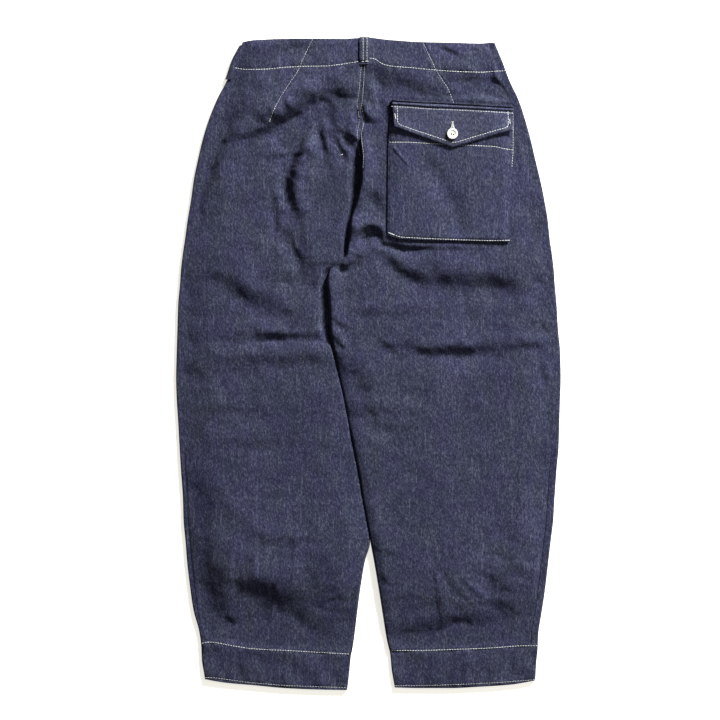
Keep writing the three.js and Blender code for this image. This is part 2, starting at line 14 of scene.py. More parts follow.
import bpy
import numpy as np
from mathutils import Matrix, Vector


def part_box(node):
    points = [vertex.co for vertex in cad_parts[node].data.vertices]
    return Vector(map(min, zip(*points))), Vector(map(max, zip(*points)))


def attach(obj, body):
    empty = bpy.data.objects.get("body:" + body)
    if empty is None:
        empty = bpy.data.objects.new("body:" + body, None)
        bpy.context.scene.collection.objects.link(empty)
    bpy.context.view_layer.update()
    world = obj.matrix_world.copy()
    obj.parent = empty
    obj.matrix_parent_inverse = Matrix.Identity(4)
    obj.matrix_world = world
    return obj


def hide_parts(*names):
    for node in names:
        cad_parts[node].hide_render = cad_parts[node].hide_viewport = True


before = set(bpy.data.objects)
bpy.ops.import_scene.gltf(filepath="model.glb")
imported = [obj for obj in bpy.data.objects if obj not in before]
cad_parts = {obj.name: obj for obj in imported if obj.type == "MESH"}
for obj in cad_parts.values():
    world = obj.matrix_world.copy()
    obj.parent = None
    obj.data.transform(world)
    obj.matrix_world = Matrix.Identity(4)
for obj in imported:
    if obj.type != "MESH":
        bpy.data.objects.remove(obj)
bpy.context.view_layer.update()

MM = 0.001
LOG = logging.getLogger("trousers")

Array = np.ndarray
Point = tuple[float, float]
Height = Callable[[Array, Array], Array]

# The cloth and the way it lies, as in the solids
CLOTH = 1.4
LAY_GAP = 0.4
EDGE_HEIGHT = 4.4
EDGE_RADIUS = EDGE_HEIGHT / 2
LOWEST_BACK_TOP = 2 * CLOTH + LAY_GAP
SEAT_FULLNESS = 5.0
LEG_FULLNESS = 4.0
SIDE_ROLL = 48.0
INNER_ROLL = {"left": 34.0, "right": 16.0}
SETTLE_ROOM = 0.6
HEM_FADE = 55.0
WAIST_FADE = 45.0
WAIST_SHARE = 0.4
KNEE_FULLNESS = {"left": 4.5, "right": 2.6}
KNEE_LEVEL = -268.0
KNEE_REACH = 72.0
WAIST_LEVEL = 475.0
CUFF_SEAM_LEVEL = -418.0
HEM_LEVEL = -474.0
CROTCH_LEVEL = 60.0
SEAM_OVERLAP = 0.15
GUSSET_THICKNESS = 2.6
FACE_CLOTH = 1.4
FLAP_CLOTH = 2.0
FLAP_RISE_LENGTH = 9.0
FACE_GAP = 0.3
CELL = 2.4
EDGE_STEPS = (0.0, 0.1, 0.35, 0.8, 1.4, 2.2, 3.3, 4.6)
WAIST_STEPS = (0.0, 0.15, 0.5, 1.0, 1.7)
CUFF_END_STEPS = (0.0, 0.6, 1.5)
SIDE_STEPS = (0.0, 0.4, 1.2, 2.4)
MOUTH_STEPS = (0.0, 0.5, 1.4)
FLAP_RIM_STEPS = (0.0, 0.15, 0.45, 0.9, 1.4, 2.2)
LOOP_SIDE_STEPS = (0.0, 0.1, 0.35, 0.8)
LOOP_END_STEPS = (0.0, 0.3, 0.9)


class Side(Enum):
    """The wearer's left or right, which is also left or right in the picture."""

    LEFT = "left"
    RIGHT = "right"

    @property
    def out(self) -> int:
        """The direction along X from the centre seam to the side seam."""
        return -1 if self is Side.LEFT else 1


class High(Enum):
    """Where the cloth stands up beside a fold's dip."""

    WAIST = (0.0, 1.0)
    HEM = (0.0, -1.0)
    LEFT = (-1.0, 0.0)
    RIGHT = (1.0, 0.0)
    BOTH = None
    LINE = "line"


class Section(NamedTuple):
    """One level across the garment: its two side edges and the inner edges of its legs."""

    y: float
    left_outer: float
    left_inner: float
    right_inner: float
    right_outer: float


class Fold(NamedTuple):
    """A crease from one point through a middle one to its end, with its half width and depth."""

    start: Point
    via: Point
    end: Point
    width: float
    depth: float
    high: High = High.WAIST


SECTIONS = tuple(Section(*row) for row in (
    (490, -181, -6, -6, 180), (470, -187, -6, -6, 188), (446, -199, -8, -8, 198),
    (417, -209, -10, -10, 208), (388, -223, -12, -12, 221), (358, -235, -11, -11, 231),
    (329, -244, -12, -12, 239), (299, -251, -10, -10, 246), (270, -257, -12, -12, 253),
    (241, -261, -18, -18, 259), (211, -266, -27, -27, 264), (182, -270, -30, -30, 267),
    (162, -273, -33, -33, 270), (136, -276, -58, -58, 273), (120, -277, -62, -62, 274),
    (86, -280, -59, -59, 277), (52, -281, -58, -58, 279), (19, -282, -52, -52, 282),
    (-21, -283, -43, -43, 283), (-53, -282, -36, -36, 282), (-84, -280, -30, -30, 281),
    (-121, -278, -23, -23, 280), (-155, -276, -16, -16, 277), (-197, -273, -9, -9, 274),
    (-230, -272, -3, -3, 272), (-263, -269, 2, 3, 268), (-289, -267, -5, 8, 265),
    (-324, -263, -11, 14, 261), (-367, -257, -17, 21, 255), (-403, -249, -22, 27, 250),
    (-426, -246, -26, 32, 249), (-447, -245, -28, 34, 247), (-465, -242, -30, 37, 246),
    (-490, -238, -34, 42, 243),
))
WAIST_EDGE = (
    (-200, 468), (-185, 473), (-167, 476), (-100, 478), (-35, 477.6), (-14, 479), (2, 479.5),
    (17, 477.6), (32, 476), (76, 473), (120, 472), (164, 471), (180, 472), (200, 470),
)
CUFF_SEAM = {
    Side.LEFT: (
        (-255, -408), (-236, -407), (-201, -412), (-149, -418), (-108, -420), (-74, -422), (-20, -425),
    ),
    Side.RIGHT: ((22, -420), (82, -420), (137, -418), (175, -416), (222, -413), (256, -412)),
}
HEM = {
    Side.LEFT: (
        (-250, -462), (-240, -464), (-211, -469), (-167, -473), (-123, -477), (-79, -479), (-30, -480),
    ),
    Side.RIGHT: ((35, -476), (76, -477), (120, -477), (164, -475), (208, -472), (250, -465)),
}
SEAM_INSET = {Side.LEFT: 6.0, Side.RIGHT: 10.0}

# How the inner edge of a leg turns down: its width, and how much wider it is higher up the leg
TURN_HEAD_LEVEL = 132.0
TURN_HEAD_FADE = 16.0
TURN_WIDTH = 2.8
TURN_GROWTH = {Side.LEFT: 1.6, Side.RIGHT: 2.6}
TURN_FOOT_LEVEL = -330.0
TURN_RUN = 380.0

# Where the seat's fullness begins, and how wide the calm strips beside the edges are
SEAT_RUN = 120.0
INNER_LEAST = 0.35
CALM_SIDE = 10.0
CALM_CUFF = 14.0
CALM_WAIST = 8.0
CALM_SEAM = 6.0
CALM_SEAM_LEVEL = 130.0
CALM_SEAM_RUN = 20.0
TOP_ROLL = 1.5
TOP_ROLL_SHARE = 0.6

# The folds of the finished cloth: the solids' own, sharper, and the smaller ones between them
LEFT_FOLDS = (
    Fold((-59, 399), (-112, 367), (-164, 334), 15, 7.6),
    Fold((-60, 399), (-90, 383), (-120, 362), 12, 6.0),
    Fold((-116, 364), (-142, 349), (-174, 332), 11, 5.0),
    Fold((-184, 372), (-212, 318), (-244, 238), 7.5, 4.6, High.RIGHT),
    Fold((-181, 413), (-196, 385), (-203, 361), 9, 1.6, High.RIGHT),
    Fold((-90, 346), (-113, 268), (-98, 206), 9, 5.4, High.RIGHT),
    Fold((-90, 342), (-103, 306), (-114, 272), 9, 4.8, High.RIGHT),
    Fold((-122, 205), (-106, 166), (-80, 126), 7, 4.0, High.RIGHT),
    Fold((-141, 258), (-134, 215), (-139, 172), 5.2, 2.6, High.RIGHT),
    Fold((-100, 200), (-86, 160), (-66, 128), 9, 2.0, High.RIGHT),
    Fold((-72, 354), (-67, 328), (-56, 300), 6, 3.2, High.RIGHT),
    Fold((-48, 333), (-38, 313), (-28, 300), 4.6, 2.8),
    Fold((-34, 340), (-26, 327), (-16, 310), 6.4, 5.6),
    Fold((-26, 430), (-46, 385), (-54, 340), 9, 2.6, High.RIGHT),
    Fold((-146, 305), (-122, 305), (-98, 306), 3.8, 2.0),
    Fold((-218, 124), (-166, 98), (-104, 66), 11, 3.2),
    Fold((-232, 134), (-215, 122), (-200, 112), 7.8, 1.3),
    Fold((-134, 131), (-104, 124), (-78, 116), 6.2, 1.8),
    Fold((-196, 38), (-130, 39), (-50, 39), 6, 3.8),
    Fold((-196, 38), (-130, 38), (-58, 40), 12.3, 1.2, High.BOTH),
    Fold((-240, -9), (-150, 3), (-38, 5), 13, 2.6),
    Fold((-274, 47), (-262, 44), (-250, 41), 5.6, 1.6),
    Fold((-242, -70), (-205, -68), (-165, -72), 9, 1.4),
    Fold((-207, -115), (-180, -116), (-142, -114), 7.8, 1.1),
    Fold((-244, -180), (-214, -212), (-170, -250), 14, 2.8),
    Fold((-169, -260), (-134, -261), (-100, -260), 9, 1.6),
    Fold((-238, -292), (-160, -330), (-84, -336), 22, 3.6),
    Fold((-190, -318), (-158, -329), (-126, -342), 11, 1.5),
    Fold((-98, 468), (-136, 461), (-180, 440), 12, 2.6),
    Fold((-54, 145), (-44, 140), (-35, 144), 5, 4.2),
    Fold((-18, 377), (-20, 362), (-17, 350), 3.4, 2.6, High.LEFT),
    Fold((-228, -366), (-150, -388), (-58, -372), 20, 1.8),
    Fold((-236, -352), (-150, -352), (-84, -352), 38, 7.0),
    Fold((-232, -312), (-222, -345), (-206, -362), 14, 2.4, High.RIGHT),
)
RIGHT_FOLDS = (
    Fold((5, 424), (14, 396), (5, 380), 6.2, 2.6, High.LEFT),
    Fold((-9, 374), (-3, 363), (8, 354), 5.5, 5.6),
    Fold((-5, 384), (5, 368), (13, 354), 2.8, 1.6, High.LINE),
    Fold((14, 430), (54, 412), (112, 398), 12, 2.9),
    Fold((106, 467), (122, 459), (138, 451), 5.6, 1.3),
    Fold((150, 465), (161, 459), (172, 450), 6.7, 2.1),
    Fold((172, 425), (203, 408), (224, 376), 15, 8.4),
    Fold((178, 421), (200, 408), (215, 391), 4.5, 1.9),
    Fold((-10, 230), (5, 245), (24, 231), 9, 3.4),
    Fold((-24, 182), (3, 197), (28, 184), 7, 7.4),
    Fold((18, 192), (36, 179), (64, 173), 7, 4.6),
    Fold((40, 177), (90, 172), (165, 171), 5.6, 2.1),
    Fold((23, 164), (46, 141), (92, 124), 10, 4.2),
    Fold((66, 132), (150, 121), (236, 126), 15, 4.6),
    Fold((-14, 75), (18, 75), (51, 74), 7.8, 1.3),
    Fold((51, 29), (98, 19), (172, 22), 7.5, 2.4),
    Fold((92, 21), (165, 21), (242, 27), 9, 2.8),
    Fold((214, 28), (236, 29), (256, 21), 5.6, 1.6),
    Fold((12, 40), (28, 26), (43, 13), 5.6, 1.4),
    Fold((-52, 66), (-40, 57), (-25, 52), 5, 2.6),
    Fold((-52, 40), (-45, 33), (-37, 24), 3.6, 2.6),
    Fold((-44, 28), (-26, -6), (6, -48), 13, 3, High.RIGHT),
    Fold((251, 62), (261, 54), (272, 43), 5.6, 2.9),
    Fold((249, 14), (257, -8), (266, -33), 4.5, 1.4, High.RIGHT),
    Fold((-34, -62), (-8, -68), (16, -68), 12, 2.4),
    Fold((12, -88), (38, -94), (62, -93), 7.8, 1.1),
    Fold((98, -390), (146, -374), (190, -332), 20, 4.4),
    Fold((150, -372), (196, -318), (224, -214), 18, 3.8, High.RIGHT),
    Fold((106, -352), (150, -352), (226, -352), 38, 3.2),
    Fold((72, -394), (104, -385), (146, -368), 11, 1.8),
    Fold((16, -270), (27, -275), (38, -279), 5.6, 1.1),
    Fold((18, -313), (29, -318), (40, -320), 5.6, 1.0),
    Fold((-46, 143), (-33, 143), (-18, 157), 5.2, 5.0),
)
FOLDS = {Side.LEFT: LEFT_FOLDS, Side.RIGHT: RIGHT_FOLDS}
FOLD_STEPS = 10


class Outline(NamedTuple):
    """Four curved sides of a piece sewn on: the top and bottom by X, the left and right by Y."""

    top: Sequence[Point]
    bottom: Sequence[Point]
    left: Sequence[Point]
    right: Sequence[Point]


POCKET = Outline(
    top=((30, 366), (215, 357)),
    bottom=((20, 192), (47, 184), (81, 182), (176, 180), (215, 179)),
    left=((380, 33), (307, 29), (180, 28)),
    right=((375, 213), (313, 212), (227, 209), (175, 207)),
)
FLAP = Outline(
    top=((30, 387.4), (216, 377.4)),
    bottom=(
        (33, 347.8), (38, 346.9), (66, 337), (95, 326.8), (117, 319.2), (123, 317.4), (130, 319.2),
        (165, 329.1), (207, 341.2), (213, 342),
    ),
    left=((386, 34), (340, 38)),
    right=((375, 213), (340, 212)),
)
PRESSED_LOW = (26.0, 180.0)
PRESSED_HIGH = (214.0, 386.0)
PRESSED_FADE = 10.0
FLAP_BUTTON = (123.0, 337.0)
BUTTON_RADIUS = 8.0


def smooth(t: Array) -> Array:
    """A step from 0 to 1 with level ends."""
    clamped = np.clip(t, 0.0, 1.0)
    return clamped * clamped * (3.0 - 2.0 * clamped)


def bell(distance: Array, width: float) -> Array:
    """A soft bump of height 1 that dies away over a width."""
    return np.exp(-((distance / width) ** 2))


def rim_drop(from_rim: Array, radius: float) -> Array:
    """How far a rounded rim lies under the flat beside it.

    Args:
        from_rim: Distances from the rim.
        radius: The rim's radius.

    Returns:
        The drop at each distance.
    """
    over = np.clip(radius - from_rim, 0, radius)
    return radius - np.sqrt(np.maximum(radius * radius - over * over, 0))


class SmoothCurve:
    """A curve through a table's rows that never overshoots them."""

    def __init__(self, points: Sequence[Point]) -> None:
        """Sorts the rows and works out the slope at each.

        Args:
            points: Pairs of the place and the value there.
        """
        ordered = sorted(points)
        self.at = np.array([p[0] for p in ordered], dtype=float)
        self.value = np.array([p[1] for p in ordered], dtype=float)
        slope = np.diff(self.value) / np.diff(self.at)
        tangent = np.concatenate(([slope[0]], np.zeros(len(slope) - 1), [slope[-1]]))
        product = slope[:-1] * slope[1:]
        total = slope[:-1] + slope[1:]
        same_way = product > 0
        tangent[1:-1][same_way] = 2 * product[same_way] / total[same_way]
        self.tangent = tangent

    def __call__(self, query: Array) -> Array:
        """The value at each place.

        Args:
            query: Places, which are held inside the table's ends.

        Returns:
            The values there.
        """
        inside = np.clip(np.asarray(query, dtype=float), self.at[0], self.at[-1])
        i = np.clip(np.searchsorted(self.at, inside, side="right") - 1, 0, len(self.at) - 2)
        span = self.at[i + 1] - self.at[i]
        t = (inside - self.at[i]) / span
        return (
            (1 + 2 * t) * (1 - t) ** 2 * self.value[i]
            + t * t * (3 - 2 * t) * self.value[i + 1]
            + t * (1 - t) ** 2 * span * self.tangent[i]
            - t * t * (1 - t) * span * self.tangent[i + 1]
        )


class Polyline:
    """A run of straight pieces in the plane, with the nearest place on it to any point."""

    def __init__(self, points: Array) -> None:
        """Keeps the points and the length up to each.

        Args:
            points: Rows of x and y.
        """
        self.points = np.asarray(points, dtype=float)
        steps = np.linalg.norm(np.diff(self.points, axis=0), axis=1)
        self.reach = np.concatenate(([0.0], np.cumsum(steps)))

    @property
    def length(self) -> float:
        """The whole length."""
        return float(self.reach[-1])

    def nearest(self, x: Array, y: Array) -> tuple[Array, Array, Array, Array]:
        """The nearest place on the line to each point.

        Args:
            x: The points' x.
            y: The points' y.

        Returns:
            The distance, the length along the line, and the offset from the line in x and y.
        """
        best = np.full(x.shape, np.inf)
        along = np.zeros(x.shape)
        off_x = np.zeros(x.shape)
        off_y = np.zeros(x.shape)
        for i in range(len(self.points) - 1):
            start = self.points[i]
            step = self.points[i + 1] - start
            size = float(step @ step) or 1e-9
            t = np.clip(((x - start[0]) * step[0] + (y - start[1]) * step[1]) / size, 0, 1)
            dx = x - start[0] - t * step[0]
            dy = y - start[1] - t * step[1]
            distance = np.hypot(dx, dy)
            closer = distance < best
            best = np.where(closer, distance, best)
            along = np.where(closer, self.reach[i] + t * math.sqrt(size), along)
            off_x = np.where(closer, dx, off_x)
            off_y = np.where(closer, dy, off_y)
        return best, along, off_x, off_y

    def within(self, x: Array, y: Array, margin: float) -> Array:
        """Which points lie in the line's box with a margin round it.

        Args:
            x: The points' x.
            y: The points' y.
            margin: How far the box is widened on each side.

        Returns:
            True for each point inside.
        """
        low = self.points.min(axis=0) - margin
        high = self.points.max(axis=0) + margin
        return (x > low[0]) & (x < high[0]) & (y > low[1]) & (y < high[1])

    def at(self, length: Array) -> tuple[Array, Array]:
        """The points at the given lengths along the line.

        Args:
            length: Lengths from its start.

        Returns:
            The points' x and y.
        """
        x = np.interp(length, self.reach, self.points[:, 0])
        y = np.interp(length, self.reach, self.points[:, 1])
        return x, y


def bent_line(start: Point, via: Point, end: Point, steps: int = FOLD_STEPS) -> Polyline:
    """A curve from start to end that passes through via halfway.

    Args:
        start: Its first point.
        via: The point halfway.
        end: Its last point.
        steps: How many straight pieces stand for it.

    Returns:
        The curve.
    """
    a, m, b = (np.array(p, dtype=float) for p in (start, via, end))
    control = 2 * m - (a + b) / 2
    t = np.linspace(0, 1, steps + 1)[:, None]
    return Polyline((1 - t) ** 2 * a + 2 * t * (1 - t) * control + t * t * b)


class SoftNoise:
    """Smooth unevenness in the plane, the same on every run."""

    def __init__(self, seed: int, size: int = 64) -> None:
        """Draws the lattice of values.

        Args:
            seed: Sets the draw.
            size: Cells of the lattice before it repeats.
        """
        self.size = size
        self.lattice = np.random.default_rng(seed).uniform(-1, 1, (size, size))

    def __call__(self, u: Array, v: Array) -> Array:
        """Values that change over about one unit of u and of v.

        Args:
            u: Places across, in cells of the lattice.
            v: Places along.

        Returns:
            A value from -1 to 1 at each place.
        """
        iu = np.floor(u).astype(int)
        iv = np.floor(v).astype(int)
        fu = smooth(u - iu)
        fv = smooth(v - iv)
        near_u, far_u = iu % self.size, (iu + 1) % self.size
        near_v, far_v = iv % self.size, (iv + 1) % self.size
        low = self.lattice[near_u, near_v] * (1 - fu) + self.lattice[far_u, near_v] * fu
        high = self.lattice[near_u, far_v] * (1 - fu) + self.lattice[far_u, far_v] * fu
        return low * (1 - fv) + high * fv


class SeamLine(NamedTuple):
    """A line of sewing, the groove that it pulls into the cloth and the puckers beside it."""

    side: Side
    points: Sequence[Point]
    groove: float
    pucker: float
    raised: float = 0.0


WAIST_STITCH_LEFT = (
    (-200, 436), (-189, 433), (-171, 432), (-146, 433), (-121, 435.5), (-101, 436.5),
    (-58, 437), (-37, 440), (-14.5, 443.5),
)
WAIST_STITCH_RIGHT = (
    (1.5, 448.5), (10, 448), (16, 442.5), (23, 438.5), (37, 436), (62.5, 434.5), (81.5, 432.5),
    (98.5, 431), (118.5, 429.5), (137.5, 428.5), (165.5, 428), (184.5, 429.5), (203, 431),
)
DART_LEFT = (
    (-82, 477), (-92, 457), (-101, 436.5), (-104, 428.5), (-113, 416), (-128, 393), (-139.5, 370.5),
    (-144.5, 357),
)
DART_RIGHT = ((79.5, 473), (89.5, 452), (99, 431), (108, 417), (117, 404), (125.5, 382))
CENTRE_SEAM_LEFT = (
    (-10, 441), (-10.2, 436), (-11.5, 430), (-13, 406), (-16, 388), (-16, 378), (-13.5, 360),
    (-14, 350), (-17, 338), (-15, 324), (-13, 306),
)
CENTRE_SEAM_RIGHT = (
    (-5.5, 441), (-5.6, 436), (-6, 430), (-7.5, 406), (-9, 388), (-10.5, 378), (-6.5, 360),
    (-7.5, 350), (-10.5, 338), (-9.5, 324), (-7, 306), (-8, 286),
)

SEAM_LINES = (
    SeamLine(Side.LEFT, WAIST_STITCH_LEFT, 0.5, 0.25),
    SeamLine(Side.RIGHT, WAIST_STITCH_RIGHT, 0.5, 0.25),
    SeamLine(Side.RIGHT, ((28, 389), (125, 384), (218, 379)), 1.3, 0.5),
    SeamLine(Side.LEFT, DART_LEFT, 0.5, 0.2, 0.35),
    SeamLine(Side.RIGHT, DART_RIGHT, 0.5, 0.2, 0.35),
    SeamLine(Side.LEFT, CENTRE_SEAM_LEFT, 0.35, 0.2, 0.3),
    SeamLine(Side.RIGHT, CENTRE_SEAM_RIGHT, 0.35, 0.2, 0.3),
)
SEAM_REACH = 22.0
GROOVE_WIDTH = 2.2
PUCKER_REACH = 7.0
PUCKER_PERIOD = 8.0
PUCKER_SPREAD = 14.0
RIDGE_OFFSET = 3.5
RIDGE_WIDTH = 2.4


@dataclass(frozen=True)
class FoldShape:
    """The cross section of a fold and how it changes along the fold.

    Places and widths across it are in half widths of the fold, and runs are millimetres along it.
    """

    box_margin: float = 4.0
    usual_width: float = 1.12
    width_change: float = 0.3
    width_run: float = 19.0
    fading_end: float = 0.25
    end_strength: float = 0.35
    depth_change: float = 0.5
    depth_run: float = 24.0
    nick_change: float = 0.25
    nick_run: float = 8.0
    end_sharpness: float = 3.0
    rise_share: float = 0.75
    bank_place: float = 0.8
    bank_share: float = 0.5
    skirt_place: float = 1.6
    skirt_width: float = 1.5
    skirt_share: float = 0.37

    def height(self, fold: Fold, off: Array, facing: Array) -> Array:
        """The cross section: a dip on one side of the line and a rise on the other.

        Args:
            fold: The fold.
            off: Distances from its line.
            facing: How squarely each place faces the high side, from -1 to 1.

        Returns:
            The height for a fold of depth 1.
        """
        if fold.high is High.LINE:
            return bell(off, 1)
        if fold.high is High.BOTH:
            return self.rise_share / 2 * bell(off - self.skirt_place, 1) - bell(off, 1)
        signed = off * facing
        bank = self.rise_share * bell(signed - self.bank_place, 1) - bell(signed + self.bank_place, 1)
        skirt = bell(signed - self.skirt_place, self.skirt_width) - bell(
            signed + self.skirt_place, self.skirt_width
        )
        return self.bank_share * bank + self.skirt_share * skirt


@dataclass(frozen=True)
class CentreFold:
    """The deep fold down the centre back, where the right side stands up over the left.

    Levels are places along Y. A fade or run is the length over which a part grows or dies away.
    """

    foot_level: float = 150.0
    foot_fade: float = 16.0
    left_head_level: float = 321.0
    left_head_slant: float = 0.5
    left_head_fade: float = 9.0
    hollow_depth: float = 5.6
    wider_level: float = 222.0
    floor_width: float = 1.0
    floor_growth: float = 3.5
    floor_run: float = 50.0
    bank_width: float = 9.0
    bank_growth: float = 8.0
    bank_run: float = 60.0
    right_head_level: float = 316.0
    right_head_fade: float = 22.0
    crest_height: float = 4.4
    peak_height: float = 4.0
    peak_level: float = 290.0
    peak_run: float = 34.0
    saddle_depth: float = 1.2
    saddle_level: float = 225.0
    saddle_run: float = 14.0
    crest_place: float = 2.6
    crest_fade: float = 24.0
    gutter_depth: float = 4.8
    gutter_width: float = 1.8

    def height(self, side: Side, from_inner: Array, y: Array) -> Array:
        """The height that the fold adds to a back.

        Args:
            side: The panel.
            from_inner: Distances from the centre seam.
            y: Places along.

        Returns:
            The height at each place.
        """
        starts = smooth((y - self.foot_level) / self.foot_fade)
        if side is Side.LEFT:
            past_head = y - self.left_head_level - self.left_head_slant * from_inner
            along = starts * (1 - smooth(past_head / self.left_head_fade))
            higher = y - self.wider_level
            floor = self.floor_width + self.floor_growth * smooth(higher / self.floor_run)
            bank = self.bank_width + self.bank_growth * smooth(higher / self.bank_run)
            return -self.hollow_depth * along * (1 - smooth((from_inner - floor) / bank))
        along = starts * (1 - smooth((y - self.right_head_level) / self.right_head_fade))
        peak = self.peak_height * bell(y - self.peak_level, self.peak_run)
        saddle = self.saddle_depth * bell(y - self.saddle_level, self.saddle_run)
        tall = self.crest_height + peak - saddle
        beyond = smooth((from_inner - self.crest_place) / self.crest_fade)
        crest = smooth(from_inner / self.crest_place) * (1 - beyond)
        return tall * along * crest - self.gutter_depth * along * bell(from_inner, self.gutter_width)


@dataclass(frozen=True)
class LegCrease:
    """The crease between the legs, where the right leg's edge lies higher than the left one's."""

    head_level: float = 130.0
    head_fade: float = 14.0
    rise_height: float = 5.2
    rise_place: float = 4.5
    rise_width: float = 11.0
    low_share: float = 0.25
    low_level: float = -60.0
    low_run: float = 120.0
    hollow_depth: float = 5.6
    hollow_level: float = 20.0
    hollow_run: float = 40.0
    floor_width: float = 6.0
    floor_loss: float = 4.0
    floor_level: float = 90.0
    floor_run: float = 40.0
    bank_width: float = 9.0

    def height(self, side: Side, from_inner: Array, y: Array) -> Array:
        """The height that the crease adds to a back.

        Args:
            side: The panel.
            from_inner: Distances from the leg's inner edge.
            y: Places along.

        Returns:
            The height at each place.
        """
        on_leg = 1 - smooth((y - self.head_level) / self.head_fade)
        if side is Side.RIGHT:
            grown = smooth((y - self.low_level) / self.low_run)
            along = on_leg * (self.low_share + (1 - self.low_share) * grown)
            return self.rise_height * along * bell(from_inner - self.rise_place, self.rise_width)
        deep = on_leg * smooth((y - self.hollow_level) / self.hollow_run)
        floor = self.floor_width - self.floor_loss * smooth((y - self.floor_level) / self.floor_run)
        return -self.hollow_depth * deep * (1 - smooth((from_inner - floor) / self.bank_width))


@dataclass(frozen=True)
class SewnMarks:
    """What the inside of the garment presses into the back: its facing and its seams' edges."""

    facing_rise: float = 0.35
    facing_width: float = 42.0
    facing_fade: float = 3.0
    side_seam_dip: float = 1.2
    side_seam_width: float = 2.4
    side_seam_level: float = -110.0
    side_seam_run: float = 60.0
    centre_seam_dip: float = 0.9
    centre_seam_width: float = 1.3
    centre_seam_level: float = 300.0
    centre_seam_run: float = 12.0

    def add(self, height: Array, to_waist: Array, from_side: Array, from_inner: Array, y: Array) -> Array:
        """The height with the marks in it.

        Args:
            height: The height without them.
            to_waist: Places along from the waist edge, negative below it.
            from_side: Distances from the side seam.
            from_inner: Distances from the centre seam.
            y: Places along.

        Returns:
            The height at each place.
        """
        height = height + self.facing_rise * smooth((to_waist + self.facing_width) / self.facing_fade)
        on_lower_leg = smooth((self.side_seam_level - y) / self.side_seam_run)
        height = height - self.side_seam_dip * (1 - smooth(from_side / self.side_seam_width)) * on_lower_leg
        on_seat = smooth((y - self.centre_seam_level) / self.centre_seam_run)
        return height - self.centre_seam_dip * bell(from_inner, self.centre_seam_width) * on_seat


